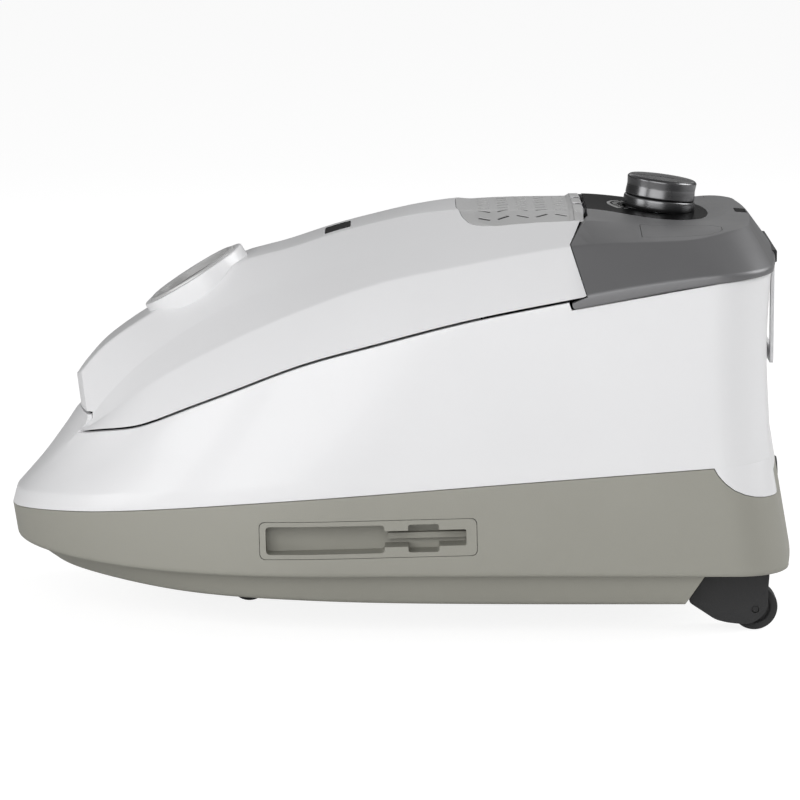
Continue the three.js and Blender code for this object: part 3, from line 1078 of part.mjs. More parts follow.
// The space a castor's hood may fill as it swivels: below the keel it may reach further out.
function castorSpace({ x, y, ceiling }, freeBelow, kneeZ, reach) {
  const top = ceiling - CLEARANCE;
  const profile = [[0, 0], [29.4, 0], [29.4, freeBelow], [reach, kneeZ], [reach, top], [0, top]];
  return turned(profile, [x, y, 0], [0, 0, 1], 20);
}

function castor(name, { x, ceiling, radius, trail }, y, ...space) {
  const { pin, width, wheelWidth, axle, play, bossHeight } = CASTOR;
  const scale = radius / HOOD_WHEEL;
  const top = ceiling - CLEARANCE;
  const side = HOOD.map(([dx, z]) => [x + dx, z === 0 ? top : z * scale]);
  const [ax, az] = [x + trail, radius];
  let hood = prismY(side, y - width / 2, y + width / 2).intersect(castorSpace({ x, y, ceiling }, ...space));
  const gap = wheelWidth / 2 + play;
  hood = hood.subtract(rod(radius + 1.2, [ax, y - gap, az], [ax, y + gap, az], 24));
  hood = hood.subtract(rod(axle + CLEARANCE, [ax, y - width, az], [ax, y + width, az], 10));
  hood = hood.add(rod(pin, [x, y, top - 3], [x, y, ceiling + bossHeight], 12));
  add(`${name}_hood`, hood, BLACK);
  const disc = rod(radius, [ax, y - wheelWidth / 2, az], [ax, y + wheelWidth / 2, az], 24);
  const stub = width / 2 - 1;
  add(`${name}_wheel`, disc.add(rod(axle, [ax, y - stub, az], [ax, y + stub, az], 10)), RUBBER);
}
castor("front_castor", FRONT_CASTOR, 0, 16, 21, 24.2);
castor("rear_castor_left", REAR_CASTOR, -REAR_CASTOR.y, 17.5, 37, 18);
castor("rear_castor_right", REAR_CASTOR, REAR_CASTOR.y, 17.5, 37, 18);

const coverTop = smoothAt(KEEL_BOTTOM_Z, SERVICE.x1) - CLEARANCE;
const coverBottom = coverTop - SERVICE.thickness;
add("service_cover", box(SERVICE.x0, SERVICE.x1, -SERVICE.half, SERVICE.half, coverBottom, coverTop), WARM_GREY);
export default root;
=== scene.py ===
"""Looks for the canister vacuum cleaner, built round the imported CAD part. Metres, +X to the rear, +Z up."""
import json
import math

import bmesh
import bpy
import numpy as np
from mathutils import Matrix, Vector
from mathutils.bvhtree import BVHTree


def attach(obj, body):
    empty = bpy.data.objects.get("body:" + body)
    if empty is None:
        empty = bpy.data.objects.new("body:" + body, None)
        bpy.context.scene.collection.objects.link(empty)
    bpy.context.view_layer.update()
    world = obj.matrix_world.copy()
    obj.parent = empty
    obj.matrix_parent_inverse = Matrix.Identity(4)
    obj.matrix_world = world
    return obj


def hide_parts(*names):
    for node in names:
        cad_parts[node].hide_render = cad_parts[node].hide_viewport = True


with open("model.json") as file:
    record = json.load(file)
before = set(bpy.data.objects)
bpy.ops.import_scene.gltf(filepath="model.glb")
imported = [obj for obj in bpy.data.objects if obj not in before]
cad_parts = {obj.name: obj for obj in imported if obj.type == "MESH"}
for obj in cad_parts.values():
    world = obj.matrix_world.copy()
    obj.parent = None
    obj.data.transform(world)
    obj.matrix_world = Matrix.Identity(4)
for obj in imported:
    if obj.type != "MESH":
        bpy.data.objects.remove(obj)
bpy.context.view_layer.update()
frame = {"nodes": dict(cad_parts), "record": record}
MM = 0.001
REACH = 300.0  # further out than any piece
GAP = 0.3  # clearance between pieces
WALL, TOP_WALL, SEAM = 2.6, 3.4, 1.5

# ---- Plan outlines and heights of the body, as in the CAD part, in millimetres ----
def plan(nose, facet, mid, half, rear, corner, crown):
    return dict(nose=nose, facet=facet, mid=mid, half=half, rear=rear, corner=corner, crown=crown)

KEEL_BOTTOM = plan(-196, (-193, 18), -25, 109, 206, 25, 6)
KEEL_TOP = plan(-212, (-209.5, 20), -25, 115, 209, 27, 6)
BAND_BOTTOM = plan(-217, (-216, 14), -30, 123, 220, 30, 6)
BELT = plan(-220, (-219, 12), -30, 120, 209, 30, 6)
SHOULDER = plan(-217.5, (-215.5, 17), -28, 119.5, 207.5, 30, 6)
WAIST = plan(-202, (-197, 30), 5, 118.5, 205.4, 31, 6)
SEAM_RING = plan(-189, (-180, 42), 30, 117, 208, 33, 6)
SOFT_EDGE = plan(-184, (-175.5, 43), 60, 95, 195.5, 42, 3)
BEAK_WIDTH = (-180.5, 185, [(-174.5, 40), (-120, 46), (-50, 55), (90, 64), (106, 61), (146, 53), (168, 43),
                            (180, 26), (185, 0)])
TOP_WIDTH = (-183, 174, [(-179.4, 19), (-150, 20), (-60, 23), (8, 25), (31, 29), (100, 36), (146, 45), (162, 41),
                         (171, 24), (174, 0)])
LIP_PROUD, LIP_BLEND, LIP_X, SHOULDER_RISE = 1.8, 1.5, 90.6, 9
LID_BEAK_END, PANEL_BEAK_START = 105, 97  # where the beak line goes over to the panel's edge, on either piece
FACET_IN, ALONG_IN, ACROSS_IN = 0.4, 0.9, 0.6  # how far inner outlines move for each millimetre of inset
UNDER_SEAM = 5  # how far the rooms under lid and panel reach below their edges

KEEL_BOTTOM_Z = [(-196, 28), (-172, 27), (-116, 23), (-50, 21.2), (0, 20), (220, 19.5)]
BAND_BOTTOM_Z = [(-217, 40), (-169, 37.8), (-115, 36.8), (0, 37.4), (220, 37.8)]
BELT_Z = [(-220, 57.8), (-208, 60.6), (-165, 66.6), (-120, 72.4), (-79, 77), (0, 83.6), (220, 101)]
SEAM_Z = [(-220, 103.2), (-180, 103.6), (-166, 106.8), (-145, 111.7), (-134, 116.1), (-120, 122.6), (-96, 133.1),
          (-54, 150.8), (-11, 163.8), (33, 175.6), (92, 187.7), (100, 189.2)]
LIP_BOTTOM_Z = [(92.6, 183.7), (172, 198.1), (187, 199.6), (215, 202)]
LIP_TOP_Z = [(97, 190.8), (101, 191.8), (172, 202.8), (187, 203.4), (215, 204.5)]
SOFT_EDGE_Z = [(-184, 110.5), (-175.5, 107.5), (-163.5, 115), (-137, 135.3), (-96, 159.2), (-51, 180.2),
               (-11, 194.8), (33, 204.6), (92, 215.2), (164, 219.4), (181, 222.2), (195.5, 223.2)]
PANEL_EDGE_Z = [(105, 225.2), (146, 223), (185, 224)]
TOP_CREASE_Z = [(-183, 130.5), (-179.4, 135), (-169, 147), (-158, 156), (-143, 166), (-88, 197.8), (-76, 201.3),
                (-65, 204.1), (-36, 213.5), (-11, 220), (8, 224.2), (31, 227.2), (75, 228.8), (100, 228.8),
                (146, 223.8), (174, 222.8)]
FLAT, NOSE, SIDE, CORNER, REAR = 6, 44, 44, 16, 8  # stations along the near half of a level


def smooth_at(points, x):
    """The cubic through points [x, z] that keeps flat stretches flat, read at every x."""
    px = np.array([p[0] for p in points], float)
    pz = np.array([p[1] for p in points], float)
    grade = np.diff(pz) / np.diff(px)
    slope = np.empty(len(px))
    slope[0], slope[-1] = grade[0], grade[-1]
    same_way = grade[:-1] * grade[1:] > 0
    slope[1:-1] = np.where(same_way, (grade[:-1] + grade[1:]) / 2, 0)
    x = np.clip(np.asarray(x, float), px[0], px[-1])
    i = np.clip(np.searchsorted(px, x, side="left") - 1, 0, len(px) - 2)
    h = px[i + 1] - px[i]
    t = (x - px[i]) / h
    return ((2 * t**3 - 3 * t**2 + 1) * pz[i] + (t**3 - 2 * t**2 + t) * h * slope[i]
            + (3 * t**2 - 2 * t**3) * pz[i + 1] + (t**3 - t**2) * h * slope[i + 1])


def plan_of(p, inset):
    """The near half of an outline moved in by inset, from the nose round to the middle of the rear."""
    nose, fx, fy = p["nose"] + inset, p["facet"][0] + inset, p["facet"][1] - inset * FACET_IN
    half, corner, rear = p["half"] - inset, p["corner"] - inset, p["rear"] - inset
    pts = [(nose + (fx - nose) * (k / FLAT) ** 2, fy * k / FLAT) for k in range(FLAT)] + [(fx, fy)]
    start = math.asin(fy / half)
    reach = (p["mid"] - fx) / math.cos(start)
    for i in range(1, NOSE):
        a = start + (math.pi / 2 - start) * i / (NOSE - 1)
        pts.append((p["mid"] - reach * math.cos(a), half * math.sin(a)))
    corner_x = rear - p["crown"] - corner
    pts += [(p["mid"] + (corner_x - p["mid"]) * i / SIDE, half) for i in range(1, SIDE + 1)]
    for i in range(1, CORNER + 1):
        a = math.pi / 2 * i / CORNER
        pts.append((corner_x + corner * math.sin(a), half - corner * (1 - math.cos(a))))
    for i in range(1, REAR + 1):
        y = (half - corner) * (1 - i / REAR)
        pts.append((rear - p["crown"] * (y / (half - corner)) ** 2, y))
    return np.array(pts)


def level(p, heights, inset, lift=0.0):
    xy = plan_of(p, inset)
    return np.column_stack([xy, smooth_at(heights, xy[:, 0]) + lift])


def width_plan(nose, rear, width, inset):
    """A line of the top given by its half width along x, with its stations spread like the soft edge's."""
    guide = plan_of(SOFT_EDGE, inset)[:, 0]
    g0, g1 = guide[FLAT], guide[-1]
    x0, x1 = width[0][0] + inset, rear - inset
    x = x0 + (guide - g0) * (x1 - x0) / (g1 - g0)
    y = smooth_at(width, np.minimum(x + inset * ALONG_IN, rear)) - inset * ACROSS_IN
    share = np.arange(FLAT + 1) / FLAT
    x[:FLAT + 1] = nose + inset + (x[FLAT] - nose - inset) * share**2
    y[:FLAT + 1] = y[FLAT] * share
    y[-1] = 0
    return x, np.maximum(y, 0)


def upper_rings(inset, panel_from=LID_BEAK_END):
    """Soft edge, beak line, crease and ridge of the top."""
    drop = -(TOP_WALL / WALL) * inset
    soft = level(SOFT_EDGE, SOFT_EDGE_Z, inset, drop)
    cx, cy = width_plan(*TOP_WIDTH, inset)
    crease = np.column_stack([cx, cy, smooth_at(TOP_CREASE_Z, cx) + drop])
    bx, by = width_plan(*BEAK_WIDTH, inset)
    share = (soft[:, 1] - by) / np.maximum(soft[:, 1] - crease[:, 1], 1)
    share[:FLAT + 1] = share[FLAT + 1]
    on_facet = soft[:, 2] + (crease[:, 2] - soft[:, 2]) * share
    on_panel = smooth_at(PANEL_EDGE_Z, bx) + drop
    z = np.where(bx > panel_from, on_panel, on_facet)
    ridge = crease * [1, 0, 1]
    return soft, np.column_stack([bx, by, z]), crease, ridge


def seam_level(inset, rear, lift=0.0):
    xy = plan_of(SEAM_RING, inset)
    z = np.where(xy[:, 0] < LIP_X, smooth_at(SEAM_Z, xy[:, 0]), smooth_at(rear, xy[:, 0]))
    return np.column_stack([xy, z + lift])


def lower_rings(inset):
    return [level(KEEL_BOTTOM, KEEL_BOTTOM_Z, inset, inset), level(KEEL_TOP, BAND_BOTTOM_Z, inset, inset),
            level(BAND_BOTTOM, BAND_BOTTOM_Z, inset, inset)]


def wall_rings(inset, lift):
    shoulder = level(SHOULDER, BELT_Z, inset, SHOULDER_RISE)
    seam = seam_level(inset, LIP_TOP_Z)
    waist = np.column_stack([plan_of(WAIST, inset), (shoulder[:, 2] + seam[:, 2]) / 2])
    return [level(BELT, BELT_Z, inset, lift), shoulder, waist, seam]


# ---- Solids ----
def rounded(rings, radii, steps=4, most=0.42):
    """Rings with the edge at each one rounded to about the radius given for it, within a share of its sides."""
    out = [rings[0]]
    for k in range(1, len(rings) - 1):
        a, p, b = rings[k - 1], rings[k], rings[k + 1]
        if not radii[k]:
            out.append(p)
            continue
        la = np.linalg.norm(a - p, axis=1, keepdims=True) + 1e-9
        lb = np.linalg.norm(b - p, axis=1, keepdims=True) + 1e-9
        start = p + (a - p) * np.minimum(radii[k] / la, most)
        end = p + (b - p) * np.minimum(radii[k] / lb, most)
        for s in range(steps + 1):
            t = s / steps
            out.append((1 - t) ** 2 * start + 2 * t * (1 - t) * p + t**2 * end)
    return out + [rings[-1]]


def flowing(rings, steps):
    """Rings on a smooth curve through the ones given."""
    out = []
    n = len(rings)
    for k in range(n - 1):
        p0, p1, p2, p3 = rings[max(k - 1, 0)], rings[k], rings[k + 1], rings[min(k + 2, n - 1)]
        for s in range(steps):
            t = s / steps
            out.append(0.5 * (2 * p1 + (p2 - p0) * t + (2 * p0 - 5 * p1 + 4 * p2 - p3) * t**2
                              + (3 * p1 - p0 - 3 * p2 + p3) * t**3))
    return out + [rings[-1]]


def cross(ring, count, rise=0.0):
    """Lines from a ring up to the centre line, crowned by rise."""
    out = []
    for s in range(1, count + 1):
        t = 1 - s / count
        out.append(ring * [1, t, 1] + np.array([0, 0, 1]) * rise * (1 - t**2))
    return out


def mesh_from(bm):
    bmesh.ops.remove_doubles(bm, verts=bm.verts, dist=1e-6)
    bmesh.ops.recalc_face_normals(bm, faces=bm.faces)
    me = bpy.data.meshes.new("m")
    bm.to_mesh(me)
    bm.free()
    return me


def skin(rings, loop=False):
    """A closed mesh over rings that run along the near half, mirrored to the far half."""
    bm = bmesh.new()
    grid = []
    for ring in rings:
        near = [bm.verts.new((x * MM, -y * MM, z * MM)) for x, y, z in ring]
        far = [bm.verts.new((x * MM, y * MM, z * MM)) for x, y, z in ring]
        grid.append((near, far))
    pairs = list(zip(grid, grid[1:])) + ([(grid[-1], grid[0])] if loop else [])
    for (n0, f0), (n1, f1) in pairs:
        for i in range(len(n0) - 1):
            for quad in ((n0[i], n0[i + 1], n1[i + 1], n1[i]), (f0[i], f1[i], f1[i + 1], f0[i + 1])):
                bm.faces.new(quad)
    bmesh.ops.remove_doubles(bm, verts=bm.verts, dist=2e-6)
    bmesh.ops.dissolve_degenerate(bm, dist=1e-6, edges=bm.edges)
    return mesh_from(bm)


def prism(points, lo=-REACH, hi=REACH, axis="y"):
    """An outline run along the axis, as a closed mesh; its points are given by the other two axes in turn."""
    bm = bmesh.new()
    put = {"x": lambda a, b, c: (c, a, b), "y": lambda a, b, c: (a, c, b), "z": lambda a, b, c: (a, b, c)}[axis]
    low, high = [[bm.verts.new(Vector(put(a, b, c)) * MM) for a, b in points] for c in (lo, hi)]
    bm.faces.new(low)
    bm.faces.new(high)
    n = len(points)
    for i in range(n):
        bm.faces.new((low[i], low[(i + 1) % n], high[(i + 1) % n], high[i]))
    return mesh_from(bm)


def block(x0, x1, y0, y1, z0, z1):
    return prism([(x0, z0), (x1, z0), (x1, z1), (x0, z1)], y0, y1)


def inset_outline(points, d):
    """A convex outline moved in by d on every side, or out where d is negative."""
    n = len(points)
    area = sum(points[i][0] * points[(i + 1) % n][1] - points[(i + 1) % n][0] * points[i][1] for i in range(n))
    side = math.copysign(1, area) * d
    lines = []
    for i in range(n):
        a, b = Vector(points[i]), Vector(points[(i + 1) % n])
        u = (b - a).normalized()
        lines.append((a + Vector((-u.y, u.x)) * side, u))
    out = []
    for i in range(n):
        (p, u), (q, v) = lines[i - 1], lines[i]
        t = ((q.x - p.x) * v.y - (q.y - p.y) * v.x) / (u.x * v.y - u.y * v.x)
        out.append(tuple(p + u * t))
    return out


def turned(profile, origin, axis, sides=96):
    """A closed profile of [radius, height] points turned round an axis."""
    bm = bmesh.new()
    q = Vector((0, 0, 1)).rotation_difference(Vector(axis).normalized())
    rings = []
    for r, h in profile:
        if r < 1e-6:
            rings.append([bm.verts.new((Vector(origin) + q @ Vector((0, 0, h))) * MM)] * sides)
            continue
        ring = []
        for i in range(sides):
            a = 2 * math.pi * i / sides
            ring.append(bm.verts.new((Vector(origin) + q @ Vector((r * math.cos(a), r * math.sin(a), h))) * MM))
        rings.append(ring)
    closed = profile[0][0] > 1e-6
    for a, b in list(zip(rings, rings[1:])) + ([(rings[-1], rings[0])] if closed else []):
        for i in range(sides):
            j = (i + 1) % sides
            face = list(dict.fromkeys((a[i], a[j], b[j], b[i])))
            if len(face) > 2:
                bm.faces.new(face)
    return mesh_from(bm)


def rod(r, start, end, sides=64):
    d = Vector(end) - Vector(start)
    return turned([(0, 0), (r, 0), (r, d.length), (0, d.length)], start, d, sides)


def pin(r, x, z, half, sides, y=0):
    """A rod across the cleaner, with its middle at y."""
    return rod(r, (x, y - half, z), (x, y + half, z), sides)


def rounded_outline(points, r, steps=6, most=0.48, keep=()):
    """An outline with its corners rounded, apart from those to keep, within a share of their sides."""
    out = []
    n = len(points)
    for k in range(n):
        p, a, b = Vector(points[k]), Vector(points[k - 1]), Vector(points[(k + 1) % n])
        if not r or k in keep:
            out.append(tuple(p))
            continue
        start = p + (a - p) * min(r / (a - p).length, most)
        end = p + (b - p) * min(r / (b - p).length, most)
        for s in range(steps + 1):
            t = s / steps
            out.append(tuple((1 - t) ** 2 * start + 2 * t * (1 - t) * p + t * t * end))
    return out


def soft_profile(points, r):
    """A lathe profile with its corners rounded, apart from those on the axis."""
    ends = (0, len(points) - 1) if points[0][0] < 1e-6 else ()
    return rounded_outline(points, r, 3, 0.45, ends)


def obj_of(mesh, name="tmp"):
    o = bpy.data.objects.new(name, mesh)
    bpy.context.scene.collection.objects.link(o)
    return o


def applied(o):
    """The object's mesh with its modifiers applied."""
    bpy.context.view_layer.update()
    return bpy.data.meshes.new_from_object(o.evaluated_get(bpy.context.evaluated_depsgraph_get()))


def combine(base, tools, operation):
    """Applies one boolean per tool mesh and returns the result as a new mesh."""
    o = obj_of(base)
    helpers = [obj_of(t) for t in tools]
    for h in helpers:
        m = o.modifiers.new("b", "BOOLEAN")
        m.operation, m.object, m.solver = operation, h, "EXACT"
    done = applied(o)
    for h in [o] + helpers:
        bpy.data.objects.remove(h)
    return done


def cut(base, *tools):
    return combine(base, tools, "DIFFERENCE")


def join(base, *tools):
    return combine(base, tools, "UNION")


def common(base, *tools):
    return combine(base, tools, "INTERSECT")


def piece(name, mesh, slot, body, replaces=None, angle=32, bevel=0.0):
    """Makes a visible piece: it rides on a body and stands for the CAD node it replaces, if any."""
    o = obj_of(mesh, name)
    mesh.materials.clear()
    mesh.materials.append(MAT[slot])
    for p in mesh.polygons:
        p.material_index = 0
        p.use_smooth = True
    mesh.set_sharp_from_angle(angle=math.radians(angle))
    if bevel:
        b = o.modifiers.new("edge", "BEVEL")
        b.width, b.segments, b.limit_method, b.angle_limit = bevel * MM, 2, "ANGLE", math.radians(40)
        b.harden_normals = True
    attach(o, body)
    if replaces:
        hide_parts(replaces)
    return o


# ---- Materials ----
def srgb(*c):
    return tuple((v / 12.92 if v <= 0.04045 else ((v + 0.055) / 1.055) ** 2.4) for v in c) + (1.0,)


MAT = {}


def shader_tree(owner):
    owner.use_nodes = True
    return owner, owner.node_tree


def add_node(nt, kind, values=(), links=(), **settings):
    """A new shader node with its settings, its input values and what is linked into it."""
    n = nt.nodes.new("ShaderNode" + kind)
    for key, value in settings.items():
        setattr(n, key, value)
    for key, value in dict(values).items():
        n.inputs[key].default_value = value
    for key, socket in dict(links).items():
        nt.links.new(socket, n.inputs[key])
    return n


def raise_by(nt, height, strength, distance):
    """Bumps the surface of a material by a height."""
    bump = add_node(nt, "Bump", {"Strength": strength, "Distance": distance}, {"Height": height})
    nt.links.new(bump.outputs["Normal"], nt.nodes["Principled BSDF"].inputs["Normal"])


def material(name, color, rough, metallic=0.0, grain=0.0, grain_scale=900, shade=0.03, shade_scale=14, coat=0.0,
             rough_var=0.06, stretch=(1, 1, 1), specular=0.5, flake=0.0):
    """Moulded plastic, metal or rubber: colour that drifts a little, roughness that varies, and a fine grain."""
    m, nt = shader_tree(bpy.data.materials.new(name))
    MAT[name] = m
    b = nt.nodes["Principled BSDF"]
    for key, value in (("Metallic", metallic), ("Specular IOR Level", specular), ("Coat Weight", coat),
                       ("Coat Roughness", 0.12)):
        b.inputs[key].default_value = value
    where = add_node(nt, "TexCoord").outputs["Object"]
    at = add_node(nt, "Mapping", {"Scale": stretch}, {"Vector": where}).outputs["Vector"]

    def noise(scale, detail):
        return add_node(nt, "TexNoise", {"Scale": scale, "Detail": detail}, {"Vector": at}).outputs["Fac"]

    def ramp(fac, lo, hi):
        ends = {"From Min": 0.3, "From Max": 0.7, "To Min": lo, "To Max": hi}
        return add_node(nt, "MapRange", ends, {"Value": fac}).outputs["Result"]

    base = srgb(*color)
    tones = [tuple(min(v * k, 1) for v in base[:3]) + (1,) for k in (1 - shade, 1 + shade)]
    drift = ramp(noise(shade_scale, 3), 0, 1)
    if flake:
        sparkle = add_node(nt, "TexVoronoi", {"Scale": 2600}, {"Vector": at}).outputs["Color"]
        drift = add_node(nt, "Math", {1: flake}, {0: sparkle, 2: drift}, operation="MULTIPLY_ADD").outputs["Value"]
    mix = add_node(nt, "Mix", {"A": tones[0], "B": tones[1]}, {"Factor": drift}, data_type="RGBA")
    nt.links.new(mix.outputs["Result"], b.inputs["Base Color"])
    nt.links.new(ramp(noise(45, 4), rough - rough_var / 2, rough + rough_var / 2), b.inputs["Roughness"])
    if grain:
        raise_by(nt, noise(grain_scale, 4), grain, 0.0002)
    return m


def cloth_material(name, color, weave=1400, strength=0.5, shade=0.08):
    """Fleece or paper-backed cloth: crossed threads under a soft mottle."""
    m = material(name, color, 0.92, shade=shade, shade_scale=60, specular=0.2)
    nt = m.node_tree
    nt.nodes["Principled BSDF"].inputs["Sheen Weight"].default_value = 0.25
    where = add_node(nt, "TexCoord").outputs["Object"]
    threads = {}
    for k, direction in enumerate(("X", "Z")):
        wave = add_node(nt, "TexWave", {"Scale": weave / 6.28, "Distortion": 1.5}, {"Vector": where},
                        bands_direction=direction)
        threads[k] = wave.outputs["Fac"]
    raise_by(nt, add_node(nt, "Math", (), threads, operation="ADD").outputs["Value"], strength, 0.0003)
    return m


material("white", (0.90, 0.90, 0.905), 0.38, grain=0.04, grain_scale=700, shade=0.008, coat=0.25)
material("silver", (0.77, 0.77, 0.77), 0.42, metallic=0.35, grain=0.1, shade=0.02, flake=0.25)
material("warm_grey", (0.585, 0.58, 0.545), 0.55, grain=0.35, grain_scale=1500, shade=0.02)
material("metallic", (0.46, 0.46, 0.465), 0.42, metallic=0.4, grain=0.04, specular=0.4, flake=0.3)
material("dial_metal", (0.44, 0.44, 0.445), 0.26, metallic=0.95, grain=0.03)
material("gloss_black", (0.05, 0.05, 0.051), 0.26, shade=0.1, specular=0.02, rough_var=0.03)
material("black", (0.13, 0.13, 0.135), 0.48, grain=0.3, grain_scale=1200, shade=0.06)
material("dark_grey", (0.29, 0.295, 0.30), 0.55, grain=0.35, grain_scale=1100, shade=0.05)
material("rubber", (0.21, 0.21, 0.212), 0.72, grain=0.4, grain_scale=800, shade=0.12, specular=0.3)
material("steel", (0.72, 0.73, 0.74), 0.3, metallic=1.0, grain=0.12, grain_scale=300, stretch=(12, 1, 1))
material("copper", (0.72, 0.45, 0.28), 0.4, metallic=0.9, grain=0.6, grain_scale=500, stretch=(1, 9, 9))
cloth_material("cloth", (0.90, 0.89, 0.85))
cloth_material("paper", (0.93, 0.915, 0.87), weave=2200, strength=0.35, shade=0.04)
material("card", (0.74, 0.64, 0.49), 0.9, grain=0.5, grain_scale=420, shade=0.07, specular=0.2)
material("board", (0.17, 0.36, 0.23), 0.4, grain=0.2, grain_scale=300, shade=0.15, shade_scale=220)
for part in frame["record"]["subparts"]:
    node = frame["nodes"].get(part["node"])
    if node is not None:
        node.data.materials.clear()
        node.data.materials.append(MAT[part["material_slot"]])

# ---- Sizes of the pieces, as in the CAD part, in millimetres ----
HINGE = dict(x=99.8, z=225.9, pin=1.4, pin_half=52, barrel=3, half=26, lug=8, lug_y=14, web_x=86, web_low=2.1,
             web_high=2, lug_x=112, lug_deep=12)
LID_REAR = [(LIP_X + 1.4, 180), (LIP_X + 1.7, 187.9), (100.5, 191.3), (92.2, 216), (101.2, 227.1), (101.4, 229),
            (101.4, REACH)]
PANEL_FRONT = [(95.6, 170), (95.6, 183.9), (93.9, 184.5), (93.1, 185.4), (92.9, 186.6), (92.9, 187.4),
               (101.1, 190.8), (92.8, 216), (103.6, 227.3), (103.6, REACH)]
STRIP_X, STRIP_HALF, STRIP_BOTTOM, STRIP_TOP = -172, 41, 98, 113.5
KEEL_END = [(155, -REACH), (156, 20), (167, 38)]
DIP = [(168.8, 99), (172.0, 93.6), (176, 89), (181, 85.2), (186.5, 82.6), (192, 81), (198, 80), (204, 79.6)]
DIP_TOP, TAIL_HALF, TAIL_TOP = 103, 88, 91
REAR_FROM = 150  # the rear wall lies behind this
SLOT = dict(x0=-76.3, x1=41.7, high=20, deep=15, pocket=12, face=120, tilt=0.026, z=58.5)
CORD = dict(x=206, y=52, z=62, r=9)
SOCKET = dict(x=-116.8, z=187, bore=24, tube=27.6, boss=32, boss_deep=40, top=0.5, proud=1.7, length=33)
S_AXIS = Vector((-math.sin(0.562), 0, math.cos(0.562)))
DIAL = dict(x=145.3, z=223.8, skirt=20.2, knob=19.6, seam=7.2, top=18.7, bore=4, sink=3.3)
MARKS = dict(count=9, first=140, step=10, inner=23.2, outer=26, half=0.3, band=27.2, thin=0.4, swell=2.6,
             band_first=142, band_step=4, band_count=20)
D_AXIS = Vector((0.129, 0, math.sqrt(1 - 0.129**2)))
PLATE = dict(edge=1.5, x0=103.8, thick=1.6, tip=10)
PEDAL = dict(x0=132, x1=176, y0=60, y1=85, cut=7, flange=1.2, under=1.2, stem_x=148, stem_y=78, stem=3, top=216,
             power_foot=213.7, rewind_foot=179.3)
LENS = dict(x0=188.5, x1=194.5, half=9, thick=2)
WINDOW = dict(x0=-42, x1=-28, half=14, thick=1.2)
BAG_SIDE = [(-138, 56), (-142, 80), (-128, 108), (-100, 128), (-60, 148), (-20, 158), (10, 156), (26, 140), (28, 60),
            (18, 51), (-122, 51)]
BAG = dict(half=50, squeeze=8, neck=27, top=-43, spare=4.5, puff=9, seam=0.6, seam_wide=9)
GRILLE = dict(x1=96, thick=1.6, sink=1.2, round=3, ledge=2, ledge_thick=2.5, bay=3.8, bay_half=30)
GRILLE_SIDE = [(31.5, 20), (34.5, 38), (38.3, 47), (43.5, 52), (53, 55), (96, 56)]
GRILLE_FIELD = [(39.5, 15), (42, 39), (45.5, 47), (50.5, 51), (57, 53.6), (94, 54.6)]
SLOTS = dict(x0=46.8, columns=5, step=10.6, rows=9, pitch=10.5, length=8, width=2, turn=0.55)
LATCH = dict(x=-168.5, z=127.5, pin=1.5, pin_half=16.7, half=14, ear=4, reach=3.5, sill=116.2, head=122.5)
HANDLE = dict(x=207.2, z=202.8, rod=2, pin=1, half=37, bar=9, bottom=141.8, x0=206.6, x1=208.4, bore_half=70)
HOLD = dict(x0=202.2, x1=209.2, half=42, z0=199.6, z1=205, top=206.4, back=1.8)
CHAMBER_SIDE = [(-150, 40), (-120, 64), (-60, 86), (44, 86)]
CHAMBER_PLAN = [(x, -y) for x, y in CHAMBER_SIDE] + CHAMBER_SIDE[::-1]
RIM = [(-160, 99.5), (60, 175)]
RIB_THICK, RIB_GAP = 2.4, 4.6
REAR_CASTOR = dict(x=186, y=77, ceiling=38, radius=12.8, low=17.5, knee=37, reach=18)
CASTORS = {
    "front_castor": dict(x=-96, y=0, ceiling=33, radius=11, low=16, knee=21, reach=24.2),
    "rear_castor_left": dict(REAR_CASTOR, y=-REAR_CASTOR["y"]),
    "rear_castor_right": REAR_CASTOR,
}
CASTOR = dict(trail=10, half=12, wheel_half=6.5, axle_half=11, axle=2.1, pivot=4, bore=4.4, post=8, post_high=14,
              well=25, well_low=23, arch=1.2)
THROUGH = (200, REACH)  # heights of what is cut down through the top


def on_socket(h):
    return Vector((SOCKET["x"], 0, SOCKET["z"])) + S_AXIS * h


def on_dial(h):
    return Vector((DIAL["x"], 0, DIAL["z"])) + D_AXIS * h


def upper_lines(first, drop=0.0, panel_from=LID_BEAK_END):
    """The body's top from the given ring up to the centre line, with its edges rounded."""
    lines = rounded([first, *upper_rings(0, panel_from)], [0, 1.6, 0.8, 2.0, 0])[:-1]
    return [line - np.array([0, 0, drop]) for line in lines + cross(lines[-1], 8, 0.3)]


def top_solid(drop):
    """The body from well below its soft edge up to drop under its top."""
    base = upper_rings(0)[0] * [1, 1, 0] + [0, 0, 60 + drop]
    lines = upper_lines(base, drop)
    return skin([cross(lines[0], 1)[0]] + lines)


def layer(points, top, bottom):
    """What lies between two depths under the body's top, inside a plan outline."""
    return cut(common(prism(points, 90, REACH, "z"), top_solid(top)), top_solid(bottom))


def dip_cutter(gap):
    """What lies above the base where the housing dips down at the tail."""
    line = [(x + gap, z + gap) for x, z in DIP]
    above = prism(line + [(REACH, line[-1][1]), (REACH, REACH), (line[0][0], REACH)])
    return cut(above, block(REAR_FROM, REACH, -TAIL_HALF - gap, TAIL_HALF + gap, -REACH, TAIL_TOP + gap))


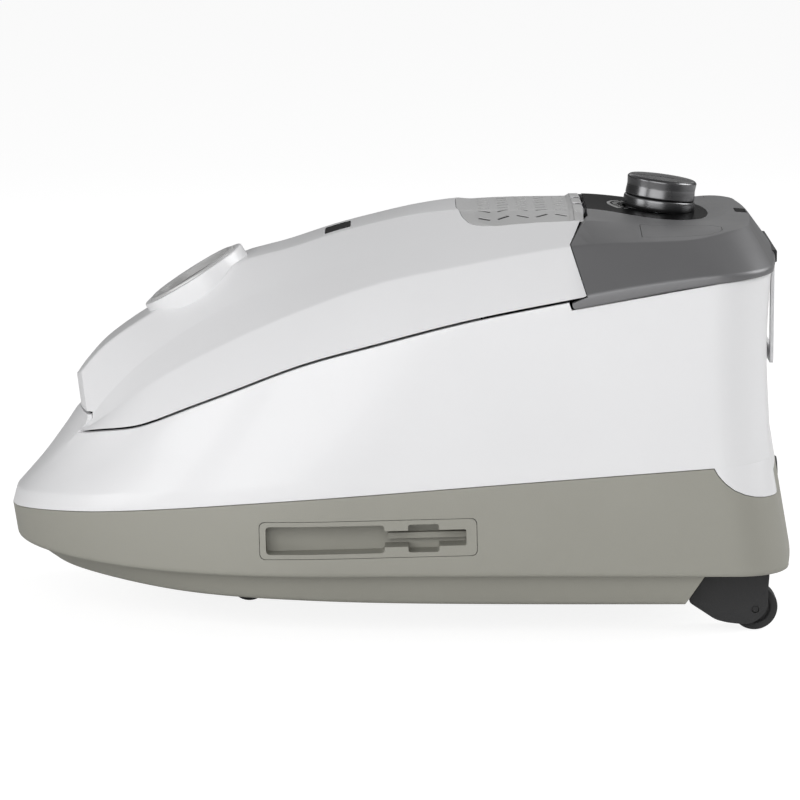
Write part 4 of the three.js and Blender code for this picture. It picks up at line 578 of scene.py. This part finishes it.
# ---- Shells ----
def base_shell():
    outer, inner = lower_rings(0), lower_rings(WALL)
    belt, belt_in = level(BELT, BELT_Z, 0), level(BELT, BELT_Z, WALL, 1)
    tub = skin(rounded([cross(outer[0], 1)[0], *outer, belt, cross(belt, 1)[0]], [0, 3, 0.6, 3.2, 0.5, 0]))
    room = skin([cross(inner[0], 1)[0], *inner, belt_in, cross(belt_in, 1)[0]])
    (x0, z0), (x1, z1), (x2, z2) = KEEL_END
    over_keel = [(x0 - WALL, z0), (x1 - WALL, z1), (x2 - WALL, z2 + WALL), (REACH, z2 + WALL), (REACH, -REACH)]
    room = cut(room, prism(over_keel))
    below = prism([*KEEL_END, (REACH, z2), (REACH, -REACH)])
    tub = cut(tub, below, room, dip_cutter(0))
    x, top, well = CASTORS["front_castor"]["x"], CASTORS["front_castor"]["ceiling"], CASTOR["well"]
    ring = rod(well + WALL, (x, 0, CASTOR["well_low"]), (x, 0, top + WALL))
    tub = cut(join(tub, ring), rod(well, (x, 0, 0), (x, 0, top)))
    bores = []
    for castor in CASTORS.values():
        x, y, top = castor["x"], castor["y"], castor["ceiling"]
        tub = join(tub, rod(CASTOR["post"], (x, y, top + 0.5), (x, y, top + CASTOR["post_high"]), 32))
        bores.append(rod(CASTOR["bore"], (x, y, 0), (x, y, 90), 24))
    slots = [slot_block(side, GAP) for side in (-1, 1)]
    y, z = CORD["y"], CORD["z"]
    return cut(tub, *bores, *slots, rod(CORD["r"], (REAR_FROM, y, z), (260, y, z), 48))


def slot_frame(mesh):
    """Puts a mesh built round the origin where the parking slot is."""
    middle = Vector(((SLOT["x0"] + SLOT["x1"]) / 2, 0, SLOT["z"])) * MM
    mesh.transform(Matrix.Translation(middle) @ Matrix.Rotation(-SLOT["tilt"], 4, "Y"))
    return mesh


def slot_block(side, grow):
    half, high = (SLOT["x1"] - SLOT["x0"]) / 2 + grow, SLOT["high"] / 2 + grow
    inner = SLOT["face"] - SLOT["deep"] - grow
    edge = rounded_outline([(-half, -high), (half, -high), (half, high), (-half, high)], 3.5)
    lo, hi = (-REACH, -inner) if side < 0 else (inner, REACH)
    return slot_frame(prism(edge, lo, hi))


def under_crease(upper):
    """The upper rings up to the crease, and the flat that closes them."""
    return list(upper[:3]) + cross(upper[2], 2)


def body_solid(inset):
    low = lower_rings(inset)
    return skin(cross(low[0], 1) + low + flowing(wall_rings(inset, 0), 6) + under_crease(upper_rings(inset)))


def side_wall(inset):
    belt, shoulder, waist, seam = wall_rings(inset, GAP)
    rings = flowing([shoulder, waist, seam], 8)
    return rounded([belt, shoulder, rings[1]], [0, 2.0, 0])[:-1] + rings[1:]


def housing_shell():
    outer, inner = side_wall(0), side_wall(WALL)
    rim = rounded([outer[-2], outer[-1], inner[-1]], [0, 0.5, 0])[1:-1]
    foot = rounded([inner[0], outer[0], outer[1]], [0, 0.4, 0])[1:-1]
    shell = skin(foot + outer[1:-1] + rim + inner[::-1], loop=True)
    x1 = LIP_X + 0.5
    x0 = x1 - 20
    line = [(x, float(smooth_at(SEAM_Z, x))) for x in (x0, x1)] + [(x, z - GAP) for x, z in LIP_BOTTOM_Z]
    above = prism(line + [(REACH, line[-1][1]), (REACH, REACH), (x0, REACH)])
    wall = cut(body_solid(0), body_solid(WALL))
    dip = common(wall, dip_cutter(GAP), block(REAR_FROM, REACH, -REACH, REACH, 0, DIP_TOP))
    strip = common(wall, block(-REACH, STRIP_X, -STRIP_HALF, STRIP_HALF, STRIP_BOTTOM, STRIP_TOP))
    y = HANDLE["half"] + 2 * GAP
    recess = block(HANDLE["x0"] - GAP, REACH, -y, y, HANDLE["bottom"] - 1, HOLD["z1"])
    return cut(join(shell, dip, strip), above, handle_bay(), recess)


def handle_bay():
    y = HOLD["half"] + GAP
    return block(HOLD["x0"] - GAP, REACH, -y, y, HOLD["z0"] - GAP, HOLD["top"] + GAP)


def rectangle(x0, x1, half):
    return [(x0, -half), (x1, -half), (x1, half), (x0, half)]


def slot_columns():
    return [SLOTS["x0"] + SLOTS["step"] * i for i in range(SLOTS["columns"])]


def inlay(spec, grow, r):
    """The outline of a small plate let into the top, grown for its opening."""
    return rounded_outline(rectangle(spec["x0"] - grow, spec["x1"] + grow, spec["half"] + grow), r)


def grille_plan(grow, r=GRILLE["round"]):
    near = [(x - grow if x < GRILLE["x1"] else x + grow, y + grow) for x, y in GRILLE_SIDE]
    return rounded_outline([(x, -y) for x, y in near] + near[::-1], r)


def lid_solid():
    edge = seam_level(0, SEAM_Z, SEAM)
    lines = upper_lines(edge)
    return skin(rounded([cross(edge, 1)[0], edge, lines[1]], [0, 0.5, 0])[:-1] + lines[1:])


def lid_shell():
    edge_in = seam_level(WALL, SEAM_Z, SEAM)
    deep_in = edge_in - [0, 0, UNDER_SEAM]
    cavity = skin([cross(deep_in, 1)[0], deep_in, edge_in] + under_crease(upper_rings(WALL)))
    wide, low, high = SOCKET["boss"], -SOCKET["boss_deep"], SOCKET["top"]
    boss = turned(soft_profile([(0, low), (wide, low), (wide, high), (0, high)], 1.2), on_socket(0), S_AXIS)
    rib = cut(prism(CHAMBER_PLAN, 90, REACH, "z"), prism(inset_outline(CHAMBER_PLAN, RIB_THICK), 80, REACH + 10, "z"))
    above = [(x, z + RIB_GAP) for x, z in RIM] + [(REACH, RIM[1][1] + RIB_GAP), (REACH, REACH), (RIM[0][0], REACH)]
    rib = common(rib, prism(above), top_solid(1.3))  # stops short of the lid's face
    lid = join(cut(lid_solid(), cavity), cut(boss, cavity), rib)
    rear = prism(LID_REAR + [(REACH, REACH), (REACH, 150), (LIP_X + 1.4, 150)])
    strip = block(-REACH, STRIP_X + GAP, -STRIP_HALF - SEAM, STRIP_HALF + SEAM, 0, STRIP_TOP + SEAM)
    lid = cut(lid, rear, strip)
    x, z, half, r, wide = (HINGE[k] for k in ("x", "z", "half", "barrel", "pin_half"))
    web = [(HINGE["web_x"], z - HINGE["web_low"]), (HINGE["web_x"], z + HINGE["web_high"]), (x, z + r), (x, z - r)]
    ledge = layer(grille_plan(GRILLE["ledge"], 0), TOP_WALL - 0.5, TOP_WALL + GRILLE["ledge_thick"])
    lid = join(lid, prism(web, -half, half), pin(r, x, z, half, 32), cut(ledge, rear))
    lx, lz, reach, side = LATCH["x"], LATCH["z"], LATCH["reach"], LATCH["half"] + GAP
    ears = [block(lx - reach, lx + reach, *y, lz - reach, REACH)
            for y in ((-side - LATCH["ear"], -side), (side, side + LATCH["ear"]))]
    lid = join(lid, *[common(ear, top_solid(1.1)) for ear in ears])
    tools = [pin(HINGE["pin"] + GAP, x, z, wide, 24), pin(LATCH["pin"] + GAP, lx, lz, LATCH["pin_half"] + GAP, 24),
             layer(grille_plan(GAP), -2, GRILLE["sink"] + GRILLE["thick"] + GAP),
             layer(inlay(WINDOW, GAP, 1.5), -2, WINDOW["thick"] + GAP),
             block(-REACH, lx, -side, side, 90, LATCH["head"] + GAP)]
    bay, bay_half = GRILLE["bay"], GRILLE["bay_half"]
    for x0 in slot_columns()[:-1]:
        tools.append(block(x0 - bay, x0 + bay, -bay_half, bay_half, *THROUGH))
    w = HINGE["lug"] / 2 + GAP
    for y in (-HINGE["lug_y"], HINGE["lug_y"]):
        tools.append(block(x - r - 1.5, REACH, y - w, y + w, z - HINGE["lug_deep"], REACH))
    tools.append(rod(SOCKET["tube"] + GAP, on_socket(-60), on_socket(60), 96))
    return cut(lid, *tools)


def lid_latch():
    x, z, sill, head, half = (LATCH[k] for k in ("x", "z", "sill", "head", "half"))
    side = [(x - 22, sill), (x - 22, head), (x - 8, head), (x - 3, z + 2.5), (x + 3, z + 2.5), (x + 3, z - 3),
            (x - 1.5, sill - 6), (x - 5.5, sill - 6), (x - 5.5, sill)]
    return join(common(prism(side, -half, half), lid_solid()), pin(LATCH["pin"], x, z, LATCH["pin_half"], 32))


# ---- Control panel ----
def plate_plan(edge):
    x, y = width_plan(*TOP_WIDTH, 0)
    rear = TOP_WIDTH[1] - edge
    near = [(min(a, rear), b - edge) for a, b in zip(x, y) if a > PLATE["x0"] + 0.5 and b > PLATE["tip"] + 0.5]
    front = (PLATE["x0"] + edge - PLATE["edge"], float(smooth_at(TOP_WIDTH[2], PLATE["x0"])) - edge)
    loop = [front] + near + [(rear, PLATE["tip"] - edge)]
    return [(a, -b) for a, b in loop] + loop[::-1]


def pedal_plan(side, grow, r=1.6):
    x0, x1, y0, y1, c = (PEDAL[k] for k in ("x0", "x1", "y0", "y1", "cut"))
    corners = [(x0, y0), (x1 - c, y0), (x1, y0 + c), (x1, y1 - c), (x1 - c, y1), (x0, y1)]
    return [(x, side * y) for x, y in rounded_outline(inset_outline(corners, -grow), r, 4)]


def panel_cover():
    low, low_in = seam_level(-LIP_PROUD, LIP_BOTTOM_Z), seam_level(WALL, LIP_BOTTOM_Z)
    deep_in = low_in - [0, 0, UNDER_SEAM]
    top = seam_level(-LIP_BLEND, LIP_TOP_Z)
    top[:, 2] += np.where(top[:, 0] < LIP_X, 2, 0)
    lines = upper_lines(top, 0, PANEL_BEAK_START)
    lines = rounded([cross(low, 1)[0], low, top, lines[1]], [0, 1.0, 1.6, 0])[:-1] + lines[1:]
    under = [seam_level(WALL, LIP_TOP_Z)] + under_crease(upper_rings(WALL, PANEL_BEAK_START))
    shell = cut(skin(lines), skin([cross(deep_in, 1)[0], deep_in] + under))
    x, z, r, lug_x, wide = (HINGE[k] for k in ("x", "z", "barrel", "lug_x", "pin_half"))
    shell = common(shell, prism(PANEL_FRONT + [(REACH, REACH), (REACH, 170)]))
    shell = cut(shell, pin(r + 1, x, z, wide, 48))
    lugs, w = [], HINGE["lug"] / 2
    for y in (-HINGE["lug_y"], HINGE["lug_y"]):
        arm = prism([(x, z - r), (lug_x, z - r - 1), (lug_x, z), (x, z)], y - w, y + w)
        lugs += [arm, pin(r, x, z, w, 32, y)]
    shell = join(shell, *lugs)
    tools = [pin(HINGE["pin"] + GAP, x, z, wide, 24), handle_bay(),
             layer(plate_plan(PLATE["edge"] - GAP), -2, PLATE["thick"] + GAP),
             rod(DIAL["bore"], on_dial(-20), on_dial(20), 48), layer(inlay(LENS, GAP, 1.5), -2, LENS["thick"] + GAP)]
    tools += [prism(pedal_plan(s, GAP), *THROUGH, "z") for s in (-1, 1)]
    return cut(shell, *tools)


def pedal(side, foot):
    deep = TOP_WALL + PEDAL["under"]
    cap = layer(pedal_plan(side, 0), 0, deep + PEDAL["flange"])
    flange = layer(pedal_plan(side, PEDAL["flange"]), deep, deep + PEDAL["flange"])
    x, y = PEDAL["stem_x"], side * PEDAL["stem_y"]
    stem = rod(PEDAL["stem"], (x, y, foot), (x, y, PEDAL["top"]), 32)
    return join(cap, flange, stem)


def dial_plate():
    plate = layer(plate_plan(PLATE["edge"]), 0, PLATE["thick"])
    return cut(plate, rod(DIAL["skirt"] + GAP, on_dial(-20), on_dial(20), 128))


def dial_marks():
    """Ticks round the dial, and a band that widens with the power."""
    def at(r, a, w=0.0):
        u = Vector((math.cos(a), math.sin(a)))
        return tuple(Vector((DIAL["x"], 0)) + u * r + Vector((-u.y, u.x)) * w)

    inner, outer, half, last = MARKS["inner"], MARKS["outer"], MARKS["half"], MARKS["band_count"] - 1
    outlines = []
    for k in range(MARKS["count"]):
        a = math.radians(MARKS["first"] + MARKS["step"] * k)
        outlines.append([at(inner, a, -half), at(outer, a, -half), at(outer, a, half), at(inner, a, half)])
    steps = [math.radians(MARKS["band_first"] + MARKS["band_step"] * k) for k in range(last + 1)]
    rim = [at(MARKS["band"] + MARKS["thin"] + MARKS["swell"] * k / last, steps[k]) for k in range(last, -1, -1)]
    outlines.append([at(MARKS["band"], a) for a in steps] + rim)
    first, *others = [layer(outline, -0.1, 0.4) for outline in outlines]
    for mark in others:
        first = join(first, mark)
    return first


def dial_skirt():
    s, b, h = DIAL["skirt"], DIAL["bore"], DIAL["seam"]
    profile = [(b, 0.6), (s - 0.5, 0.6), (s, 2.2), (s, h - 1), (s - 0.5, h), (b, h)]
    return turned(soft_profile(profile, 0.7), on_dial(0), D_AXIS, 128)


def dial_knob():
    h, top, k = DIAL["seam"] + 0.25, DIAL["top"], DIAL["knob"]
    profile = [(0, h), (k - 0.4, h), (k, h + 0.5), (k - 0.15, h + 2.4), (k - 0.45, (h + top) / 2),
               (k - 0.15, top - 2.6), (k, top - 1.2), (k - 1.5, top), (k - 3.2, top - 0.25), (0, top - 0.05)]
    knob = turned(soft_profile(profile, 0.6), on_dial(0), D_AXIS, 128)
    turn = Matrix(((D_AXIS.z, 0, D_AXIS.x), (0, 1, 0), (-D_AXIS.x, 0, D_AXIS.z))).to_4x4()
    turn.translation = on_dial(0) * MM
    groove = block(-k, k * 0.35, -1, 1, top - 0.8, top + 5)
    groove.transform(turn)
    return cut(knob, groove, rod(DIAL["sink"], on_dial(h - 1), on_dial(top - 4), 32))


def grille_frame():
    """The slope that leads down from the lid to the sunk field of the grille."""
    top = top_solid(0)
    tree = BVHTree.FromPolygons([v.co for v in top.vertices], [list(f.vertices) for f in top.polygons])
    outer = grille_plan(0)
    field = rounded_outline([(x, -y) for x, y in GRILLE_FIELD] + GRILLE_FIELD[::-1], GRILLE["round"])
    spacing = 3
    counts = [max(1, round((Vector(b) - Vector(a)).length / spacing)) for a, b in zip(outer, outer[1:] + outer[:1])]
    down = Vector((0, 0, -1))

    def under_top(points, drop):
        edges = zip(points, points[1:] + points[:1], counts)
        spots = [Vector((*Vector(a).lerp(Vector(b), k / n), REACH)) for a, b, n in edges for k in range(n)]
        return [tree.ray_cast(spot * MM, down)[0] + down * drop * MM for spot in spots]

    bm = bmesh.new()
    sink = GRILLE["sink"]
    depths = ((outer, 0.02), (field, sink - 0.05), (field, sink + 0.3), (outer, sink + 0.1))
    rings = [[bm.verts.new(p) for p in under_top(points, drop)] for points, drop in depths]
    for a, b in zip(rings, rings[1:] + rings[:1]):
        for i in range(len(a)):
            j = (i + 1) % len(a)
            bm.faces.new((a[i], a[j], b[j], b[i]))
    return mesh_from(bm)


def together(*meshes):
    """The meshes as one, without joining them where they meet."""
    bm = bmesh.new()
    for mesh in meshes:
        bm.from_mesh(mesh)
    return mesh_from(bm)


def slot_bars(grow):
    """The slots of the grille as solid bars, each column turned against the next."""
    bars = []
    long, wide, rows = SLOTS["length"] / 2 + grow, SLOTS["width"] / 2 + grow, SLOTS["rows"]
    for i, x in enumerate(slot_columns()):
        a = SLOTS["turn"] if i % 2 else -SLOTS["turn"]
        u, v = Vector((math.cos(a), math.sin(a))), Vector((-math.sin(a), math.cos(a)))
        for k in range(rows):
            c = Vector((x, (k - (rows - 1) / 2) * SLOTS["pitch"]))
            corners = [tuple(c + u * p * long + v * q * wide) for p, q in ((-1, -1), (1, -1), (1, 1), (-1, 1))]
            bars.append(prism(rounded_outline(corners, wide * 0.95, 3), *THROUGH, "z"))
    return together(*bars)


def exhaust_grille():
    return cut(layer(grille_plan(0), GRILLE["sink"], GRILLE["sink"] + GRILLE["thick"]), slot_bars(0))


def grille_slot_shade():
    """A thin dark layer behind the grille, and dark inserts that stand up into its slots: painted shade that makes
    the slot openings read dark.
    """
    plan_in = grille_plan(-1.5)
    under = GRILLE["sink"] + GRILLE["thick"]
    return together(layer(plan_in, under + 0.05, under + 0.25),
                    common(layer(plan_in, GRILLE["sink"] + 0.3, under + 0.04), slot_bars(0.04)))


def grille_edge():
    """The silver carried on from the grille to the lid's rear edge."""
    strip = layer(rectangle(96.2, 101.2, GRILLE_SIDE[-1][1]), -0.06, 0.6)
    w = HINGE["lug"] / 2 + 0.4
    return cut(strip, *[block(90, REACH, y - w, y + w, *THROUGH) for y in (-HINGE["lug_y"], HINGE["lug_y"])])


# ---- Sockets, handle and castors ----
def hose_socket():
    b, t, low, high = SOCKET["bore"], SOCKET["tube"], -SOCKET["length"], SOCKET["proud"]
    profile = [(b, low), (t, low), (t, 0.6), (t - 0.5, 1.4), (t - 1.4, high), (b + 0.9, high), (b, 0.8), (b, -2.2),
               (b + 0.7, -2.9), (b + 0.7, -4.6), (b, -5.3)]
    return turned(profile, on_socket(0), S_AXIS, 128)


def parking_slot(side):
    """The insert for a floor tool's clip: a wide pocket, a neck, a notch across the neck and a rail in it."""
    floor = SLOT["face"] - SLOT["pocket"]
    spaces = [((-55.7, 9, 7.6), 2.4), ((5, 53.4, 4.4), 1.2), ((21.8, 38.6, 7.6), 1.6)]
    lo, hi = (-REACH, -floor) if side < 0 else (floor, REACH)
    spaces = [slot_frame(prism(rounded_outline(rectangle(*space), r), lo, hi)) for space, r in spaces]
    made = cut(common(slot_block(side, 0), body_solid(0)), *spaces)
    r0, r1 = (-floor - 4, 1 - floor) if side < 0 else (floor - 1, floor + 4)
    return join(made, slot_frame(prism(rectangle(11, 54.4, 1.6), r0, r1)))


def handle_bore():
    return pin(HANDLE["pin"] + GAP, HANDLE["x"], HANDLE["z"], HANDLE["bore_half"], 24)


def carry_handle():
    x, h, z, b, low = (HANDLE[k] for k in ("x", "half", "z", "bar", "bottom"))
    outer = rounded_outline([(-h, low), (h, low), (h, z), (-h, z)], 4)
    inner = rounded_outline([(b - h, low + b), (h - b, low + b), (h - b, z - 5), (b - h, z - 5)], 4)
    plate = cut(prism(outer, HANDLE["x0"], HANDLE["x1"], "x"), prism(inner, 200, 220, "x"))
    return cut(join(plate, pin(HANDLE["rod"], x, z, h, 32)), handle_bore())


def handle_bracket():
    x0, x1, z0, z1, top = (HOLD[k] for k in ("x0", "x1", "z0", "z1", "top"))
    side = [(x0, z0), (x1 - 0.5, z0), (x1, z0 + 0.5), (x1, z1 + 0.9), (x1 - 0.5, top), (x0, top)]
    y = HANDLE["half"] + 0.8
    channel = block(x0 + HOLD["back"], REACH, -y, y, 0, z1 + 0.2)
    return cut(prism(side, -HOLD["half"], HOLD["half"]), channel, handle_bore())


def castor_hood(x, y, ceiling, radius, low, knee, reach):
    """The fork with its hood: drawn for a wheel of 12.8 mm, and kept inside the space it swivels in."""
    k = radius / REAR_CASTOR["radius"]
    top = ceiling - GAP
    line = [(-19, 0), (-27, 17), (-12, 7.1), (-5.5, 5.4), (4, 4.4), (9, 5.2), (14.5, 9.5), (17, 14), (17, 24.6),
            (18, 0)]
    side = rounded_outline([(x + a, top if b == 0 else b * k) for a, b in line], 2.2, 4)
    profile = [(0, -1), (29.4, -1), (29.4, low), (reach, knee), (reach, top + 5), (0, top + 5)]
    hood = common(prism(side, y - CASTOR["half"], y + CASTOR["half"]), turned(profile, (x, y, 0), (0, 0, 1)))
    axle_x = x + CASTOR["trail"]
    hood = cut(hood, pin(radius + CASTOR["arch"], axle_x, radius, CASTOR["wheel_half"] + 0.4, 64, y),
               pin(CASTOR["axle"], axle_x, radius, 24, 24, y))
    return join(hood, rod(CASTOR["pivot"], (x, y, top - 3), (x, y, ceiling + CASTOR["post_high"]), 32))


def castor_wheel(x, y, radius):
    r, w, s, axle = radius, CASTOR["wheel_half"], CASTOR["axle_half"], CASTOR["axle"] - GAP
    half = [(0, -s), (axle, -s), (axle, 0.9 - w), (4.5, 0.7 - w), (r * 0.62, 1.4 - w), (r * 0.7, 0.2 - w),
            (r - 1.6, -w), (r - 0.5, 0.5 - w), (r, 1.8 - w)]
    profile = half + [(a, -b) for a, b in half[::-1]]
    return turned(profile, (x + CASTOR["trail"], y, radius), (0, 1, 0))


def dust_bag():
    """The bag before it fills: its two panels, its gusset and its neck, a little smaller than the space it has."""
    spare, wide = BAG["spare"], BAG["half"] - BAG["spare"]
    narrow = wide - BAG["squeeze"]
    middle = prism(inset_outline(BAG_SIDE, spare), -narrow, narrow)
    puff = prism(inset_outline(BAG_SIDE, spare + BAG["puff"]), -wide, wide)
    space = prism(inset_outline(CHAMBER_PLAN, 3.9 + spare), 0, 300, "z")
    neck = rod(BAG["neck"] - 2, on_socket(-70), on_socket(BAG["top"]), 48)
    return join(common(join(middle, puff), space), neck)


def filled(mesh, voxel=4.5, most=5.0, frames=20):
    """The mesh blown up like a full bag by a cloth simulation, with no point moved further than most."""
    o = obj_of(mesh, "filling")
    remesh = o.modifiers.new("voxels", "REMESH")
    remesh.mode, remesh.voxel_size = "VOXEL", voxel * MM
    start = applied(o)
    o.modifiers.clear()
    o.data = start
    held = o.vertex_groups.new(name="held")
    mouth = [v.index for v in start.vertices if (v.co / MM - on_socket(0)).dot(S_AXIS) > BAG["top"] - 6]
    held.add(mouth, 1.0, "ADD")
    cloth = o.modifiers.new("swell", "CLOTH").settings
    cloth.use_pressure, cloth.uniform_pressure_force, cloth.shrink_min = True, 4, -0.04
    cloth.effector_weights.gravity = 0
    cloth.vertex_group_mass = held.name
    for f in range(1, frames + 1):
        bpy.context.scene.frame_set(f)
    full = applied(o)
    for v, w in zip(full.vertices, start.vertices):
        move = v.co - w.co
        v.co = w.co + move * min(1.0, most * MM / max(move.length, 1e-9))
    bpy.data.objects.remove(o)
    bpy.context.scene.frame_set(1)
    return full


def bag_seam():
    """The welded edge that runs round the bag where its two panels meet."""
    thin, wide = BAG["seam"], BAG["seam_wide"]
    return cut(prism(inset_outline(BAG_SIDE, thin), -thin, thin), prism(inset_outline(BAG_SIDE, wide), -1, 1),
               rod(BAG["neck"] - 3, on_socket(-70), on_socket(0), 48))


def cord_outlet():
    profile = [(4.5, 0), (8.7, 0), (8.7, 10.6), (11.5, 10.6), (11.5, 12.6), (4.5, 12.6)]
    return turned(soft_profile(profile, 0.9), (CORD["x"], CORD["y"], CORD["z"]), (1, 0, 0))


piece("base_shell", base_shell(), "warm_grey", "body", "base_tub")
piece("housing_shell", housing_shell(), "white", "body", "upper_housing")
piece("lid_cover", lid_shell(), "white", "lid", "lid")
piece("latch_tab", lid_latch(), "white", "lid_latch", "lid_latch", bevel=0.5)
piece("panel_cover", panel_cover(), "metallic", "body", "control_panel")
piece("dial_deck", dial_plate(), "gloss_black", "body", "dial_plate")
piece("dial_ticks", dial_marks(), "silver", "body")
piece("dial_ring", dial_skirt(), "dial_metal", "body", "dial_skirt")
piece("dial_grip", dial_knob(), "dial_metal", "dial", "dial_knob")
piece("power_button", pedal(-1, PEDAL["power_foot"]), "metallic", "power_pedal", "power_pedal")
piece("rewind_button", pedal(1, PEDAL["rewind_foot"]), "metallic", "rewind_pedal", "rewind_pedal")
lens = layer(inlay(LENS, 0, 1.2), 0, LENS["thick"])
piece("lamp_lens", lens, "gloss_black", "body", "status_lens", bevel=0.3)
piece("grille_plate", exhaust_grille(), "silver", "lid", "exhaust_grille", bevel=0.25)
piece("grille_frame", grille_frame(), "silver", "lid")
# Dark inserts in the grille's slots: painted shade for the slot openings, on a thin dark layer behind the grille.
piece("grille_slot_shade", grille_slot_shade(), "black", "lid")
piece("grille_edge", grille_edge(), "silver", "lid")
window = layer(inlay(WINDOW, 0, 1.2), 0, WINDOW["thick"])
piece("window_pane", window, "gloss_black", "lid", "indicator_window", bevel=0.25)
piece("socket_collar", hose_socket(), "silver", "lid", "hose_socket")
for side, where in ((-1, "left"), (1, "right")):
    piece("parking_" + where, parking_slot(side), "warm_grey", "body", "parking_slot_" + where, bevel=0.4)
piece("handle_loop", carry_handle(), "white", "carry_handle", "carry_handle", bevel=0.4)
piece("handle_holder", handle_bracket(), "black", "body", "handle_bracket", bevel=0.2)
for name, spec in CASTORS.items():
    wheel = castor_wheel(spec["x"], spec["y"], spec["radius"])
    piece(name + "_cover", castor_hood(**spec), "black", name + "_fork", name + "_hood", bevel=0.6)
    piece(name + "_tyre", wheel, "rubber", name + "_roller", name + "_wheel")
piece("cord_bush", cord_outlet(), "black", "body", "cord_outlet")

bag = piece("bag_body", filled(dust_bag()), "paper", "body", "dust_bag", angle=180)
bag.modifiers.new("smooth", "SUBSURF").levels = 1
piece("bag_seam", bag_seam(), "paper", "body", bevel=0.3)

# ---- Camera and studio ----
TARGET, DISTANCE, ELEVATION = Vector((0, 0, 0.115)), 2.5, math.radians(9.5)
SENSOR, ZOOM, PICTURE = 36, 1.762, 0.8
scene = bpy.context.scene
cam = bpy.data.objects.new("Camera", bpy.data.cameras.new("Camera"))
scene.collection.objects.link(cam)
cam.location = TARGET + Vector((0, -math.cos(ELEVATION), math.sin(ELEVATION))) * DISTANCE
cam.rotation_euler = (TARGET - cam.location).to_track_quat("-Z", "Y").to_euler()
cam.data.sensor_width = SENSOR
cam.data.lens = SENSOR * DISTANCE * ZOOM / PICTURE
cam.data.clip_end = 60
scene.camera = cam

floor_bm = bmesh.new()
bmesh.ops.create_grid(floor_bm, x_segments=2, y_segments=2, size=40)
floor = obj_of(mesh_from(floor_bm), "floor")
floor_look, nt = shader_tree(bpy.data.materials.new("floor"))
lights_see = nt.nodes["Principled BSDF"]
lights_see.inputs["Base Color"].default_value = (0.8, 0.8, 0.8, 1)
lights_see.inputs["Roughness"].default_value = 1
pale = add_node(nt, "BsdfDiffuse", {"Color": (0.3, 0.3, 0.3, 1)})
glow = add_node(nt, "Emission", {"Strength": 0.87})
eye_sees = add_node(nt, "AddShader", (), {0: pale.outputs["BSDF"], 1: glow.outputs["Emission"]})
ray = add_node(nt, "LightPath").outputs
by_eye = add_node(nt, "Math", (), {0: ray["Is Camera Ray"], 1: ray["Is Transmission Ray"]}, operation="MAXIMUM")
pick = add_node(nt, "MixShader", (), {"Fac": by_eye.outputs["Value"], 1: lights_see.outputs["BSDF"],
                                     2: eye_sees.outputs["Shader"]})
nt.links.new(pick.outputs["Shader"], nt.nodes["Material Output"].inputs["Surface"])
floor.data.materials.append(floor_look)

scene.world, nt = shader_tree(bpy.data.worlds.new("studio"))
height = add_node(nt, "SeparateXYZ", (), {"Vector": add_node(nt, "TexCoord").outputs["Generated"]})
sky = add_node(nt, "ValToRGB", (), {"Fac": height.outputs["Z"]})
stops = ((0.0, 0.10), (0.2, 0.10), (0.42, 0.36), (0.65, 0.30), (1.0, 0.18))
for _ in stops[2:]:
    sky.color_ramp.elements.new(0.5)
for stop, (where, tone) in zip(sky.color_ramp.elements, stops):
    stop.position, stop.color = where, (tone, tone, tone, 1)
dim = nt.nodes["Background"]
nt.links.new(sky.outputs["Color"], dim.inputs["Color"])
white = add_node(nt, "Background", {"Strength": 1.0})
pick = add_node(nt, "MixShader", (), {"Fac": add_node(nt, "LightPath").outputs["Is Camera Ray"],
                                     1: dim.outputs["Background"], 2: white.outputs["Background"]})
nt.links.new(pick.outputs["Shader"], nt.nodes["World Output"].inputs["Surface"])


def lamp(name, where, aim, size, watts):
    data = bpy.data.lights.new(name, "AREA")
    data.shape, data.size, data.size_y, data.energy = "RECTANGLE", size[0], size[1], watts
    o = bpy.data.objects.new(name, data)
    o.location = where
    o.rotation_euler = (Vector(aim) - Vector(where)).to_track_quat("-Z", "Y").to_euler()
    scene.collection.objects.link(o)


lamp("front", (-0.5, -2.2, 0.9), (0, 0, 0.12), (2.2, 1.6), 32)
lamp("nose", (-2.2, -1.1, 0.7), (-0.1, 0, 0.12), (1.2, 1.2), 15)
lamp("rear_side", (1.7, 0.35, 1.2), (0.1, 0, 0.15), (1.2, 1.2), 24)
lamp("behind", (0.1, 1.8, 0.92), (0.1, 0, 0.22), (1.6, 0.5), 1.6)

scene.view_settings.view_transform = "Standard"
